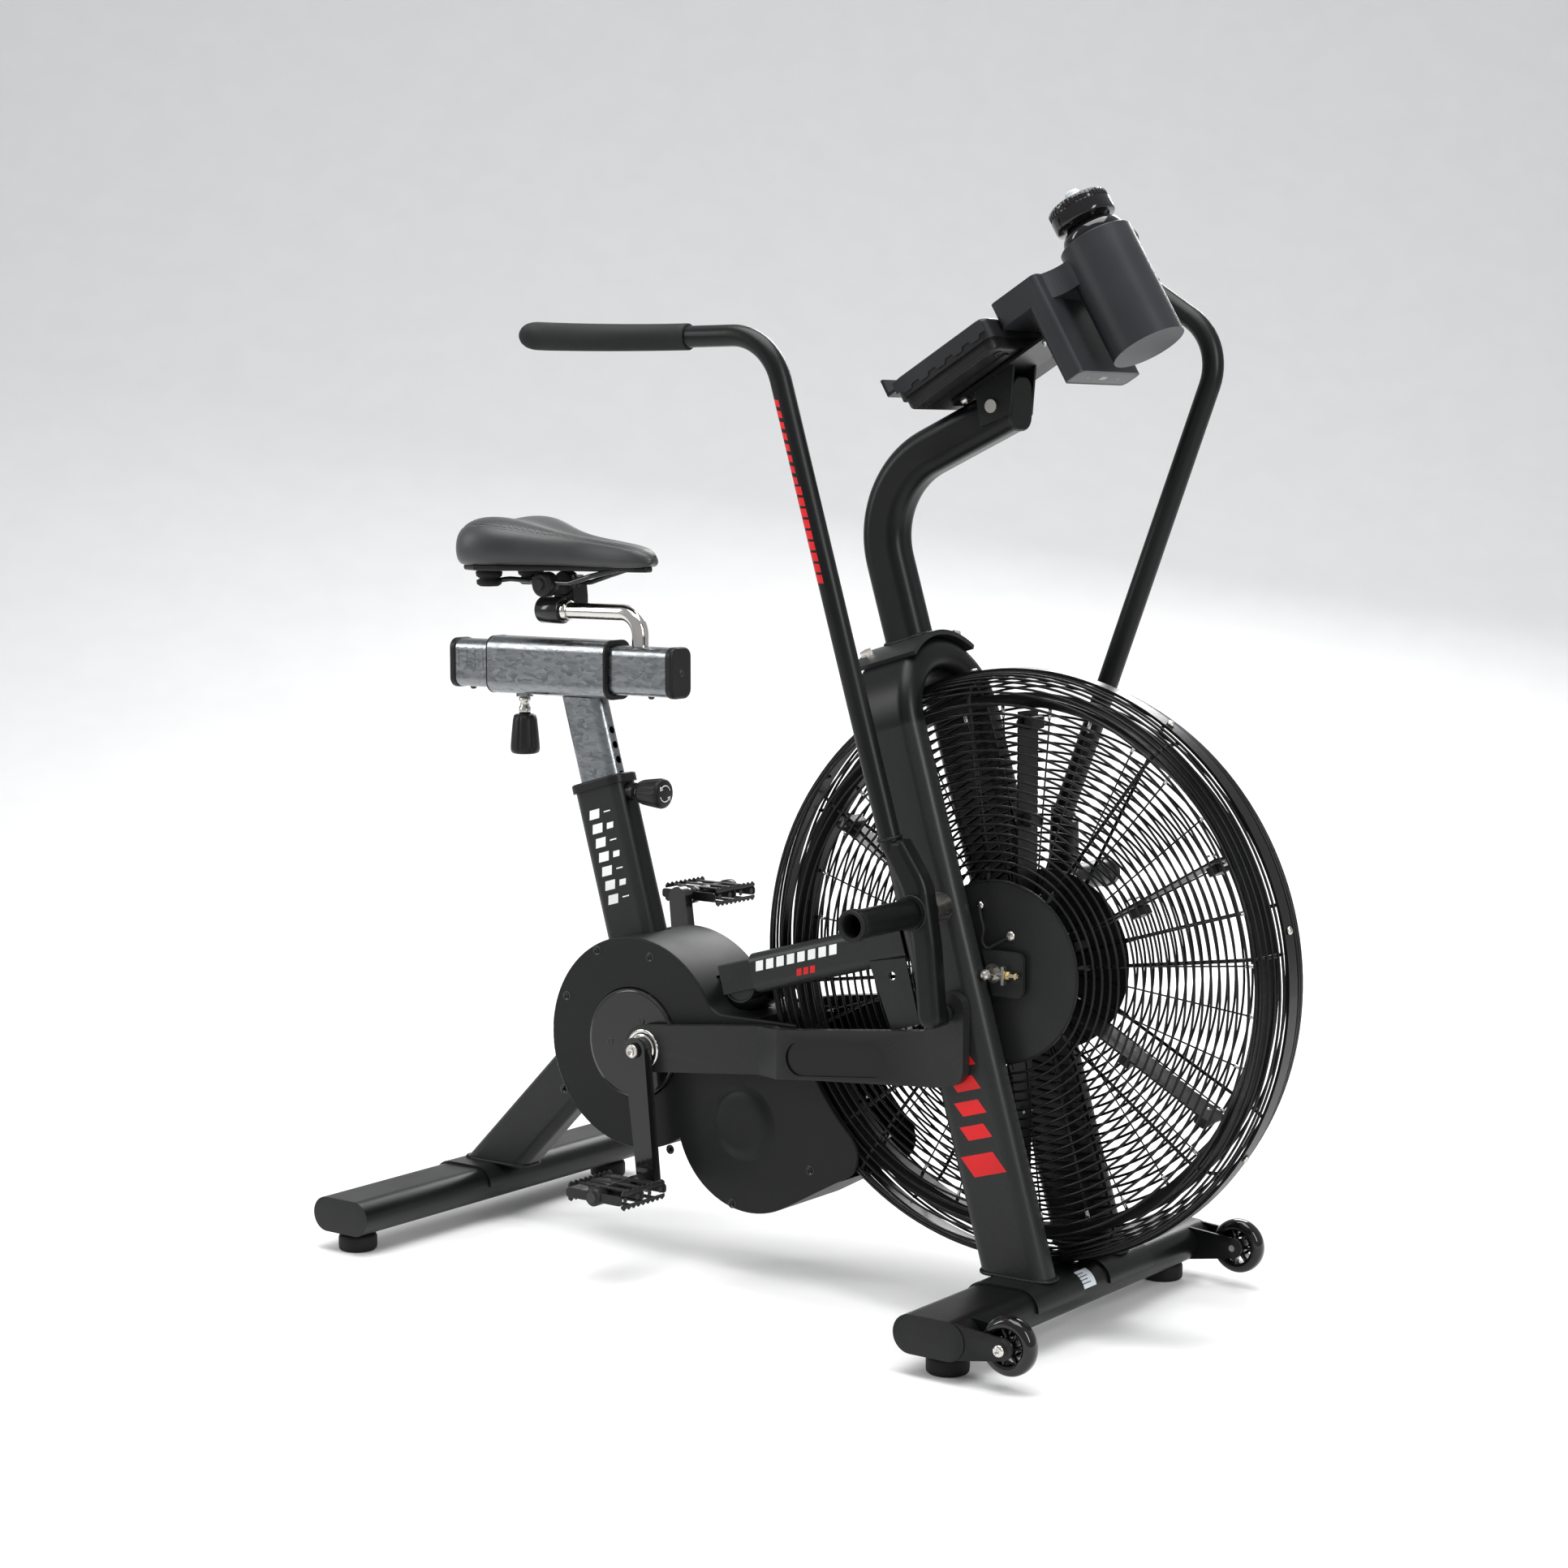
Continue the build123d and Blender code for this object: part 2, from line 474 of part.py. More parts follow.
with BuildPart() as right_link:
    with BuildSketch(Plane.XY.offset(CRANK_Z - 60)):
        with BuildLine():
            Polyline(at(-10, -LINK_REAR_Y, 0)[:2], at(LINK_BEND[0], -LINK_REAR_Y, 0)[:2],
                     at(LINK_BEND[1], -LINK_FRONT_Y, 0)[:2], at(560, -LINK_FRONT_Y, 0)[:2],
                     at(560, -LINK_FRONT_Y - LINK_T, 0)[:2],
                     at(LINK_BEND[1] - 6, -LINK_FRONT_Y - LINK_T, 0)[:2],
                     at(LINK_BEND[0] - 6, -LINK_REAR_Y - LINK_T, 0)[:2],
                     at(-10, -LINK_REAR_Y - LINK_T, 0)[:2], close=True)
        make_face()
    extrude(amount=200)
    with BuildSketch(side()):
        with BuildLine():
            outline = FilletPolyline((CRANK_THROW, 250), (318, 279), (505, 293), (541, 300), (541, 408),
                                     (499, 408), (499, 360), (CRANK_THROW, 310),
                                     radius=[40, 30, 22, 18, 18, 20])
            Line(outline @ 1, outline @ 0)
        make_face()
        with Locations(pin_at):
            Circle(LINK_HUB_R)
    extrude(amount=200, both=True, mode=Mode.INTERSECT)
    extrude(disc(0, CRANK_THROW, CRANK_Z, PIN_R + RUN), amount=200, mode=Mode.SUBTRACT)
    with BuildSketch(side(-LINK_FRONT_Y - LINK_T)):
        with Locations((358, 309)):
            SlotOverall(150, 42, rotation=6)
    extrude(amount=-2.5, mode=Mode.SUBTRACT)
save(right_link, "right_link")
left_link = left_twin(right_link.part.translate((-2 * CRANK_THROW, 0, 0)), "left_link",
                      cross_axis(-CRANK_THROW, CRANK_Z), -LINK_TILT)

# ---------------------------------------------------------------- handle arms
ARM_TUBE_R, ARM_WALL = 13.0, 2.0
WELD = (463.0, -152.0, 578.0)
BEND = (312.0, -188.0, 1175.0)
ARM_BEND_R = 70.0
HANDLE_REACH = 120.0     # from the bend back to the start of the grip
GRIP_R, GRIP_BEND_R, GRIP_TURN = 16.0, 132.0, 90.0   # the grip curves outwards
LEVER_Y, LEVER_T = 150.0, 28.0
PEG_R, PEG_WALL, PEG_END_Y = 17.0, 3.0, 285.0
ARM_AXLE_R = 12.0
lever_inner = LEVER_Y - LEVER_T / 2
lever_outer = LEVER_Y + LEVER_T / 2

grip_start = Vector(*at(BEND[0] - HANDLE_REACH, BEND[1], BEND[2]))
grip_plane = Plane(grip_start, x_dir=(0, 1, 0), z_dir=(-1, 0, 0))
grip_axis = Axis(grip_start - Vector(0, GRIP_BEND_R, 0), (0, 0, 1))
grip_tip = grip_start + Vector(-GRIP_BEND_R, -GRIP_BEND_R, 0)

with BuildPart() as right_arm:
    with BuildSketch(side(-lever_inner)):
        with BuildLine():
            lever = FilletPolyline((445, 590), (482, 528), (496, 470), (505, 371), (536, 371),
                                   (527, 470), (515, 542), (482, 590), radius=[60, 60, 14, 14, 60, 60])
            Line(lever @ 1, lever @ 0)
        make_face()
    extrude(amount=LEVER_T)
    fillet(edges().group_by(Axis.Y)[0] + edges().group_by(Axis.Y)[-1], radius=9)
    extrude(disc(-lever_inner, ARM_DX, ARM_Z, PEG_R + 3), amount=LEVER_T)
    with BuildLine() as arm_path:
        FilletPolyline(at(*WELD), at(*BEND), grip_start, radius=ARM_BEND_R)
    with BuildSketch(along(at(*WELD), at(*BEND), (0, 1, 0))):
        Circle(ARM_TUBE_R)
    sweep()
    with BuildSketch(grip_plane):
        Circle(ARM_TUBE_R)
    revolve(axis=grip_axis, revolution_arc=GRIP_TURN - 4)
    extrude(disc(-lever_outer, ARM_DX, ARM_Z, PEG_R), amount=PEG_END_Y - lever_outer)
    extrude(disc(-lever_outer, ARM_DX, ARM_Z, PEG_R + 3), amount=8)
    extrude(disc(-PEG_END_Y + 10, ARM_DX, ARM_Z, PEG_R + 2), amount=8)
    extrude(disc(-PEG_END_Y, ARM_DX, ARM_Z, PEG_R - PEG_WALL), amount=-100,
            mode=Mode.SUBTRACT)
    extrude(disc(-lever_inner, ARM_DX, ARM_Z, ARM_AXLE_R + RUN), amount=LEVER_T - 6,
            mode=Mode.SUBTRACT)
    extrude(disc(-LINK_FRONT_Y - LINK_T - 1, LOWER_DX, LOWER_Z, PIVOT_R),
            amount=lever_inner - LINK_FRONT_Y - LINK_T - 1)
    extrude(disc(-lever_inner + 5, LOWER_DX, LOWER_Z, PIVOT_R + 5), amount=5)
save(right_arm, "right_arm")
arm_axis = cross_axis(ARM_DX, ARM_Z)
left_arm = left_twin(right_arm.part, "left_arm", arm_axis, ARM_SWING)

with BuildPart() as right_grip:
    with BuildSketch(grip_plane):
        Circle(GRIP_R)
    revolve(axis=grip_axis, revolution_arc=GRIP_TURN)
    with Locations(grip_tip):
        Sphere(GRIP_R)
    with BuildSketch(grip_plane):
        Circle(ARM_TUBE_R)
    revolve(axis=grip_axis, revolution_arc=GRIP_TURN - 4, mode=Mode.SUBTRACT)
save(right_grip, "right_grip")
left_grip = left_twin(right_grip.part, "left_grip", arm_axis, ARM_SWING)

# ---------------------------------------------------------------- seat post, slider and saddle
POST_W, POST_T, POST_R = 66.0, 30.0, 14.0
POST_BOTTOM, SLEEVE_Z = 412.0, 756.0
POST_HOLE_R, POST_HOLE_PITCH, POST_HOLES = 5.0, 20.0, 13
SLEEVE_W, SLEEVE_H, SLEEVE_R = 52.0, 76.0, 16.0
SLEEVE_REAR, SLEEVE_FRONT = -282.0, -80.0
SLIDER_W, SLIDER_H, SLIDER_R, SLIDER_WALL = 40.0, 64.0, 12.0, 3.0
SLIDER_REAR, SLIDER_FRONT = -352.0, 27.0
CAP_T = 3.0
SLIDER_KNOB_DX = -238.0
SADDLE_POST_R, SADDLE_POST_DX, SADDLE_POST_Z = 11.0, -38.0, 831.0
SADDLE_POST_END = -190.0
SADDLE_REAR, SADDLE_NOSE = -305.0, -12.0
RAIL_R, RAIL_Y, RAIL_Z = 3.5, 22.0, 872.0


def bar_ring(dx, z, width, height, radius, bore_width=0.0, bore_height=0.0, bore_radius=0.0):
    """Rounded section facing forward at dx, hollow when a bore is given."""
    with BuildSketch(Plane(at(dx, 0, z), x_dir=(0, 1, 0), z_dir=(1, 0, 0))) as face:
        RectangleRounded(width, height, radius)
        if bore_width > 0:
            RectangleRounded(bore_width, bore_height, bore_radius, mode=Mode.SUBTRACT)
    return face.sketch


post_base = seat_point(POST_BOTTOM)
with BuildPart() as seat_collar:
    collar_plane = Plane(seat_point(SEAT_TUBE_TOP), x_dir=seat_ahead, z_dir=seat_up)
    with BuildSketch(collar_plane):
        RectangleRounded(COLLAR_W, COLLAR_T, SEAT_TUBE_R + 3)
    extrude(amount=COLLAR_H)
    fillet(edges().group_by(Axis(seat_point(SEAT_TUBE_TOP), seat_up))[-1], radius=3)
    with BuildSketch(collar_plane):
        RectangleRounded(SEAT_TUBE_W - 2 * WALL, SEAT_TUBE_T - 2 * WALL, SEAT_TUBE_R - WALL)
    extrude(amount=-40)
    with BuildSketch(collar_plane.offset(-40)):
        RectangleRounded(POST_W + 2 * RUN, POST_T + 2 * RUN, POST_R)
    extrude(amount=CUT_SIZE, mode=Mode.SUBTRACT)
    with BuildSketch(Plane(at(0, 0, KNOB_Z), x_dir=(0, 1, 0), z_dir=(-1, 0, 0))):
        Circle(STEM_R + RUN)
    extrude(amount=CUT_SIZE, mode=Mode.SUBTRACT)
save(seat_collar, "seat_collar")

with BuildPart() as seat_post:
    post_plane = Plane(post_base, x_dir=seat_ahead, z_dir=seat_up)
    extrude(tube_ring(post_plane, POST_W, POST_T, POST_R), amount=420)
    split(bisect_by=Plane.XY.offset(SLEEVE_Z - SLEEVE_H / 2), keep=Keep.BOTTOM)
    hole_plane = Plane(post_base + seat_up * 16, x_dir=seat_up, z_dir=seat_ahead)
    with BuildSketch(hole_plane):
        with Locations(*[((n + 0.5) * POST_HOLE_PITCH, 0) for n in range(POST_HOLES)]):
            Circle(POST_HOLE_R)
    extrude(amount=POST_W, mode=Mode.SUBTRACT)
save(seat_post, "seat_post")

with BuildPart() as slider_sleeve:
    extrude(bar_ring(SLEEVE_REAR, SLEEVE_Z, SLEEVE_W, SLEEVE_H, SLEEVE_R, SLIDER_W + 2 * RUN,
                     SLIDER_H + 2 * RUN, SLIDER_R), amount=SLEEVE_FRONT - SLEEVE_REAR)
    with BuildSketch(Plane(at(SLIDER_KNOB_DX, 0, SLEEVE_Z - SLEEVE_H / 2 - 4))):
        Circle(BOSS_R)
    extrude(amount=6)
    with BuildSketch(Plane(at(SLIDER_KNOB_DX, 0, SLEEVE_Z - SLEEVE_H / 2 - 4))):
        Circle(STEM_R + RUN)
    extrude(amount=20, mode=Mode.SUBTRACT)
save(slider_sleeve, "slider_sleeve")

with BuildPart() as slider_tube:
    extrude(bar_ring(SLIDER_REAR, SLEEVE_Z, SLIDER_W, SLIDER_H, SLIDER_R, SLIDER_W - 2 * SLIDER_WALL,
                     SLIDER_H - 2 * SLIDER_WALL, SLIDER_R - SLIDER_WALL),
            amount=SLIDER_FRONT - SLIDER_REAR)
    with BuildSketch(Plane(at(SLIDER_KNOB_DX, 0, SLEEVE_Z - SLIDER_H / 2))):
        with Locations(*[(n * 20, 0) for n in range(-3, 4)]):
            Circle(5)
    extrude(amount=SLIDER_WALL, mode=Mode.SUBTRACT)
save(slider_tube, "slider_tube")

with BuildPart() as slider_caps:
    for cap_dx in (SLIDER_REAR - CAP_T, SLIDER_FRONT):
        extrude(bar_ring(cap_dx, SLEEVE_Z, SLIDER_W, SLIDER_H, SLIDER_R), amount=CAP_T)
save(slider_caps, "slider_caps")

with BuildPart() as saddle_post:
    slider_top = SLEEVE_Z + SLIDER_H / 2
    with BuildLine(side()):
        FilletPolyline((SADDLE_POST_DX, slider_top), (SADDLE_POST_DX, SADDLE_POST_Z),
                       (SADDLE_POST_END, SADDLE_POST_Z), radius=30)
    with BuildSketch(Plane(at(SADDLE_POST_DX, 0, slider_top))):
        Circle(SADDLE_POST_R)
    sweep()
save(saddle_post, "saddle_post")

with BuildPart() as saddle_clamp:
    with BuildSketch(Plane(at(-205, 0, 0), x_dir=(0, 1, 0), z_dir=(1, 0, 0))):
        with Locations((0, SADDLE_POST_Z)):
            Circle(SADDLE_POST_R + 6)
        with Locations((0, 856)):
            RectangleRounded(32, 50, 5)
        with Locations((0, SADDLE_POST_Z)):
            Circle(SADDLE_POST_R, mode=Mode.SUBTRACT)
    extrude(amount=52)
    extrude(disc(30, -179, RAIL_Z, 16), amount=60)
    extrude(disc(36, -179, RAIL_Z, 6), amount=72)
    for hand in (-1, 1):
        with BuildSketch(Plane(at(SADDLE_REAR + 40, hand * RAIL_Y, RAIL_Z), x_dir=(0, 1, 0),
                               z_dir=(1, 0, 0))):
            Circle(RAIL_R)
        extrude(amount=190)
        for stub_dx in (SADDLE_REAR + 44, SADDLE_REAR + 226):
            with BuildSketch(Plane(at(stub_dx, hand * RAIL_Y, RAIL_Z))):
                Circle(RAIL_R)
            extrude(amount=890 - RAIL_Z)
save(saddle_clamp, "saddle_clamp")

with BuildPart() as saddle:
    with BuildSketch(Plane.XY.offset(880)):
        with BuildLine():
            Spline(at(SADDLE_NOSE, 0, 0)[:2], at(-24, 19, 0)[:2], at(-90, 26, 0)[:2],
                   at(-165, 46, 0)[:2], at(-235, 92, 0)[:2], at(-280, 97, 0)[:2],
                   at(SADDLE_REAR, 62, 0)[:2], at(SADDLE_REAR + 2, 0, 0)[:2])
            Spline(at(SADDLE_REAR + 2, 0, 0)[:2], at(SADDLE_REAR, -62, 0)[:2],
                   at(-280, -97, 0)[:2], at(-235, -92, 0)[:2], at(-165, -46, 0)[:2],
                   at(-90, -26, 0)[:2], at(-24, -19, 0)[:2], at(SADDLE_NOSE, 0, 0)[:2])
        make_face()
    extrude(amount=90)
    with BuildSketch(side()):
        with BuildLine():
            Spline((SADDLE_REAR - 5, 936), (-288, 953), (-255, 957), (-200, 945), (-130, 929),
                   (-60, 919), (SADDLE_NOSE + 2, 908))
            Polyline((SADDLE_NOSE + 2, 908), (SADDLE_NOSE + 2, 890), (SADDLE_REAR - 5, 890),
                     (SADDLE_REAR - 5, 936))
        make_face()
    extrude(amount=150, both=True, mode=Mode.INTERSECT)
save(saddle, "saddle")

# ---------------------------------------------------------------- knobs
knob_x = -38.0
PIN_STOP = -61.8         # the locking pin stops short of the post

with BuildPart() as height_knob:
    with BuildSketch(Plane(at(knob_x, 0, KNOB_Z), x_dir=(0, 1, 0), z_dir=(1, 0, 0))):
        Circle(KNOB_R)
    extrude(amount=40)
    fillet(edges().group_by(Axis.X)[-1], radius=8)
    with BuildSketch(Plane(at(PIN_STOP, 0, KNOB_Z), x_dir=(0, 1, 0), z_dir=(1, 0, 0))):
        Circle(STEM_R)
    extrude(amount=knob_x - PIN_STOP)
save(height_knob, "height_knob")

with BuildPart() as slider_knob:
    with BuildSketch(Plane(at(SLIDER_KNOB_DX, 0, 636))):
        Circle(KNOB_R)
    extrude(amount=54)
    fillet(edges().group_by(Axis.Z)[0], radius=8)
    with BuildSketch(Plane(at(SLIDER_KNOB_DX, 0, 690))):
        Circle(STEM_R)
    extrude(amount=SLEEVE_Z - SLIDER_H / 2 - GAP - 690)
save(slider_knob, "slider_knob")

# ---------------------------------------------------------------- belts, intermediate shaft and covers
COVER_HALF, COVER_WALL, DISC_HOLE = 65.0, 3.0, 73.0
LAP_R = 306.0            # the covers' faces lap over the cage as far as this radius
COVER_GAP = 10.0         # cover to the cage band
SLOT_Y = 23.5            # half width of the slots for the frame tubes
COVER_R, SHOULDER_R = 138.0, 26.0

with BuildPart() as jackshaft:
    extrude(disc(42, JACK_DX, JACK_Z, JACK_R), amount=97)
    extrude(disc(FIRST_BELT_Y + BELT_W / 2, JACK_DX, JACK_Z, SMALL_PULLEY_R), amount=BELT_W)
    extrude(disc(SECOND_BELT_Y + BELT_W / 2, JACK_DX, JACK_Z, BIG_PULLEY_R), amount=BELT_W)
save(jackshaft, "jackshaft")


def belt_loop(y, first, second, grow):
    """Loop round two pulleys, each given as dx, z and radius, grown outwards."""
    with BuildSketch(side(y)) as face:
        for pulley_dx, pulley_z, pulley_r in (first, second):
            with Locations((pulley_dx, pulley_z)):
                Circle(pulley_r + grow)
        make_hull()
    return face.sketch


first_loop = ((0, CRANK_Z, CRANK_PULLEY_R), (JACK_DX, JACK_Z, SMALL_PULLEY_R))
second_loop = ((JACK_DX, JACK_Z, BIG_PULLEY_R), (FAN_DX, FAN_Z, FAN_PULLEY_R))
with BuildPart() as belts:
    for belt_y, loop in ((FIRST_BELT_Y, first_loop), (SECOND_BELT_Y, second_loop)):
        extrude(belt_loop(belt_y + BELT_W / 2 - 1, *loop, GAP + BELT_T), amount=BELT_W - 2)
        extrude(belt_loop(belt_y + BELT_W / 2, *loop, GAP), amount=BELT_W, mode=Mode.SUBTRACT)
save(belts, "belts")


def cover_outline(y, cage_cut, inset=0.0):
    """Side outline of the belt cover, cut round the fan, its wall taken off when inset."""
    with BuildSketch(side(y)) as face:
        for hull_dx, hull_z, hull_r in ((100, CRANK_Z, 53), (262, 325, 8), (185, JACK_Z, 115), (322, 178, 32)):
            with Locations((hull_dx, hull_z)):
                Circle(hull_r - inset)
        make_hull()
        with Locations((0, CRANK_Z)):
            Circle(COVER_R - inset)
        fillet(face.vertices().sort_by_distance((127, 333))[0], radius=SHOULDER_R)
        with Locations((FAN_DX, FAN_Z)):
            Circle(cage_cut + inset, mode=Mode.SUBTRACT)
    return face.sketch


def tube_slot(start, rise, width):
    """Slot along a frame tube: from start, rising by an angle, for cutting the covers."""
    with BuildSketch(side(0, *start)) as face:
        with Locations((150 * cos(radians(rise)), 150 * sin(radians(rise)))):
            Rectangle(300, width + 2, rotation=rise)
    return face.sketch


with BuildPart() as right_belt_cover:
    cage_clear = CAGE_R + BAND_T + COVER_GAP
    extrude(cover_outline(0, cage_clear), amount=COVER_HALF)
    extrude(cover_outline(COVER_WALL - COVER_HALF, LAP_R), amount=COVER_WALL)
    fillet(edges().group_by(Axis.Y)[0], radius=2.5)
    extrude(cover_outline(0, cage_clear, COVER_WALL), amount=COVER_HALF - COVER_WALL, mode=Mode.SUBTRACT)
    extrude(disc(-COVER_HALF, JACK_DX, JACK_Z, 36), amount=7)
    fillet(edges().group_by(Axis.Y)[0], radius=6)
    extrude(disc(0, 0, CRANK_Z, DISC_HOLE), amount=CUT_SIZE, mode=Mode.SUBTRACT)
    extrude(tube_slot((tube_base.X - CRANK_X, CRANK_Z), 90 + SEAT_LEAN, SEAT_TUBE_W), amount=SLOT_Y,
            mode=Mode.SUBTRACT)
    extrude(tube_slot((0, CRANK_Z), beam_rise, BEAM_W), amount=SLOT_Y, mode=Mode.SUBTRACT)
    extrude(tube_slot((STRUT_FOOT[0] + 220, STRUT_FOOT[1] + 220), 225, STRUT_W), amount=SLOT_Y,
            mode=Mode.SUBTRACT)
    extrude(belt_loop(SECOND_BELT_Y + BELT_W / 2 + 1, *second_loop, GAP + BELT_T + 1),
            amount=BELT_W + 2, mode=Mode.SUBTRACT)
save(right_belt_cover, "right_belt_cover")
left_belt_cover = left_twin(right_belt_cover.part, "left_belt_cover")

GUARD_T = 2.0
with BuildPart() as belt_guard:
    with BuildSketch(side(-LEG_Y - SIDE_T / 2)):
        with BuildLine():
            Polyline((393, 430), (427, 349), (467, 362), (446, 440), close=True)
        make_face()
        with Locations((427, 416)):
            Circle(5, mode=Mode.SUBTRACT)
    extrude(amount=GUARD_T)
save(belt_guard, "belt_guard")

# ---------------------------------------------------------------- fan
ROTOR_R, RIM_T, RIM_DEPTH, RIM_HALF = 326.0, 2.0, 14.0, 24.0
HUB_OUTER_R, HUB_HALF = 40.0, 34.0
ROTOR_SPOKES_PER_SIDE, SPOKE_R, SPOKE_Y = 12, 1.5, 14.0
PADDLES, PADDLE_T = 6, 3.0
PADDLE_IN, PADDLE_OUT = 60.0, 311.0
FAN_BORE = FAN_AXLE_R + RUN
RING_Y, RADIAL_Y, WIRE_R, RADIAL_R = 59.7, 56.0, 1.6, 2.0
RING_IN, RING_OUT, RING_COUNT = 122.0, 318.0, 12
RIM_RINGS = ((328.0, 56.5), (337.0, 49.5), (344.0, 40.5), (348.8, 30.0), (351.4, 19.0))
RADIAL_COUNT = 12
BAND_HALF = 10.0
DISC_COVER_R = 110.0
fan_axis = cross_axis(FAN_DX, FAN_Z)

with BuildPart() as rotor_wheel:
    with BuildSketch(Plane(at(FAN_DX, 0, FAN_Z), x_dir=(0, 1, 0), z_dir=(1, 0, 0))) as rim:
        with Locations((0, ROTOR_R - RIM_DEPTH / 2)):
            Rectangle(2 * RIM_HALF, RIM_DEPTH)
        with Locations((0, ROTOR_R - RIM_DEPTH / 2 - RIM_T)):
            Rectangle(2 * (RIM_HALF - RIM_T), RIM_DEPTH, mode=Mode.SUBTRACT)
    revolve(axis=fan_axis)
    for hand in (-1, 1):
        spoke_plane = Plane(at(FAN_DX, hand * SPOKE_Y, FAN_Z + HUB_OUTER_R - 3))
        with BuildSketch(spoke_plane):
            Circle(SPOKE_R)
        spoke = extrude(amount=ROTOR_R - HUB_OUTER_R + 2, mode=Mode.PRIVATE)
        for n in range(ROTOR_SPOKES_PER_SIDE):
            step = 360 / ROTOR_SPOKES_PER_SIDE
            add(spoke.rotate(fan_axis, (n + 0.5 + 0.15 * hand) * step))
    extrude(disc(HUB_HALF - 10, FAN_DX, FAN_Z, HUB_OUTER_R), amount=2 * HUB_HALF - 20)
    extrude(disc(HUB_HALF, FAN_DX, FAN_Z, 26), amount=2 * HUB_HALF)
    extrude(disc(HUB_HALF, FAN_DX, FAN_Z, FAN_BORE), amount=2 * HUB_HALF, mode=Mode.SUBTRACT)
save(rotor_wheel, "rotor_wheel")

with BuildPart() as fan_pulley:
    with BuildSketch(side(-HUB_HALF, FAN_DX, FAN_Z)):
        Circle(26)
        Circle(FAN_BORE, mode=Mode.SUBTRACT)
    extrude(amount=20)
    with BuildSketch(side(SECOND_BELT_Y + BELT_W / 2, FAN_DX, FAN_Z)):
        Circle(FAN_PULLEY_R)
        Circle(FAN_BORE, mode=Mode.SUBTRACT)
    extrude(amount=BELT_W)
save(fan_pulley, "fan_pulley")

with BuildPart() as rotor_paddles:
    for n in range(PADDLES):
        with BuildSketch(Plane(at(FAN_DX, 0, FAN_Z + PADDLE_IN))):
            Rectangle(PADDLE_T, 2 * (RIM_HALF - RIM_T) - 1)
        blade = extrude(amount=PADDLE_OUT - PADDLE_IN + 12.9, mode=Mode.PRIVATE)
        add(blade.rotate(fan_axis, n * 360 / PADDLES))
save(rotor_paddles, "rotor_paddles")


def wire_ring(radius, y):
    """Half section of one round cage wire, to be revolved about the fan axis."""
    with BuildSketch(Plane(at(FAN_DX, y, FAN_Z), x_dir=(0, 1, 0), z_dir=(1, 0, 0))) as face:
        with Locations((0, radius)):
            Circle(WIRE_R)
    return face.sketch


with BuildPart() as right_cage:
    pitch = (RING_OUT - RING_IN) / (RING_COUNT - 1)
    for n in range(RING_COUNT):
        revolve(wire_ring(RING_IN + n * pitch, -RING_Y), axis=fan_axis)
    for ring_r, ring_y in RIM_RINGS:
        revolve(wire_ring(ring_r, -ring_y), axis=fan_axis)
    with BuildLine(Plane(at(FAN_DX, 0, FAN_Z), x_dir=(0, 1, 0), z_dir=(1, 0, 0))) as spoke_path:
        FilletPolyline((-RADIAL_Y, DISC_COVER_R - 12), (-RADIAL_Y, 314), (-44, 335), (-26, 346),
                       (-BAND_HALF + 1, 349), radius=9)
    with BuildSketch(Plane(at(FAN_DX, -RADIAL_Y, FAN_Z + DISC_COVER_R - 12))):
        Circle(RADIAL_R)
    radial = sweep(mode=Mode.PRIVATE)
    for n in range(RADIAL_COUNT):
        add(radial.rotate(fan_axis, (n + 0.5) * 360 / RADIAL_COUNT))
    extrude(belt_loop(SECOND_BELT_Y + BELT_W / 2 + 1, *second_loop, GAP + BELT_T + 3),
            amount=BELT_W + 2, mode=Mode.SUBTRACT)
save(right_cage, "right_cage")
left_cage = left_twin(right_cage.part, "left_cage")

with BuildPart() as cage_band:
    with BuildSketch(side(BAND_HALF, FAN_DX, FAN_Z)):
        Circle(CAGE_R + BAND_T)
        Circle(CAGE_R, mode=Mode.SUBTRACT)
    extrude(amount=2 * BAND_HALF)
save(cage_band, "cage_band")

with BuildPart() as fan_side_discs:
    for face_y in (RING_Y - 0.5, -RADIAL_Y - RADIAL_R):
        with BuildSketch(side(face_y, FAN_DX, FAN_Z)):
            Circle(DISC_COVER_R)
            Circle(14, mode=Mode.SUBTRACT)
        extrude(amount=RING_Y - 0.5 - RADIAL_Y - RADIAL_R)
save(fan_side_discs, "fan_side_discs")

# ---------------------------------------------------------------- console and bottle
CONSOLE_W, CONSOLE_H, FRONT_T, REAR_T = 190.0, 147.0, 26.0, 14.0
CONSOLE_TILT = 30.5      # the face rises forward by this angle, degrees
CONSOLE_LOW = (417.6, 1118.9)       # lower edge of the console's face
PLATE_LOW, PLATE_HIGH, BRACKET_Y = 27.0, 188.5, 35.0
LUG_T = 3.8
LEDGE_Y = 60.0
HOLDER_Y, HOLDER_LOW, HOLDER_HIGH = 68.0, 147.5, 217.0
LEG_LOW, LEG_DEPTH = 189.0, 115.0
CUP_S, CUP_R, CUP_BORE, CUP_TOP, CUP_FLOOR = 272.0, 44.0, 41.0, -25.0, 113.0
BOTTLE_R, BOTTLE_NECK, LID_R, LID_TOP, VALVE_TOP = 36.5, 24.0, 37.0, -78.0, -92.0
KEY_W, KEY_H, KEY_T, KEY_X, KEY_S = 26.0, 12.0, 5.0, 34.0, 38.0

console_up = Vector(cos(radians(CONSOLE_TILT)), 0, sin(radians(CONSOLE_TILT)))
console_out = Vector(-sin(radians(CONSOLE_TILT)), 0, cos(radians(CONSOLE_TILT)))


def console_plane(depth):
    """Plane parallel to the console's face, this far behind it: sketch x is rightwards, y is up."""
    return Plane(Vector(*at(CONSOLE_LOW[0], 0, CONSOLE_LOW[1])) - console_out * depth,
                 x_dir=(0, -1, 0), z_dir=console_out)


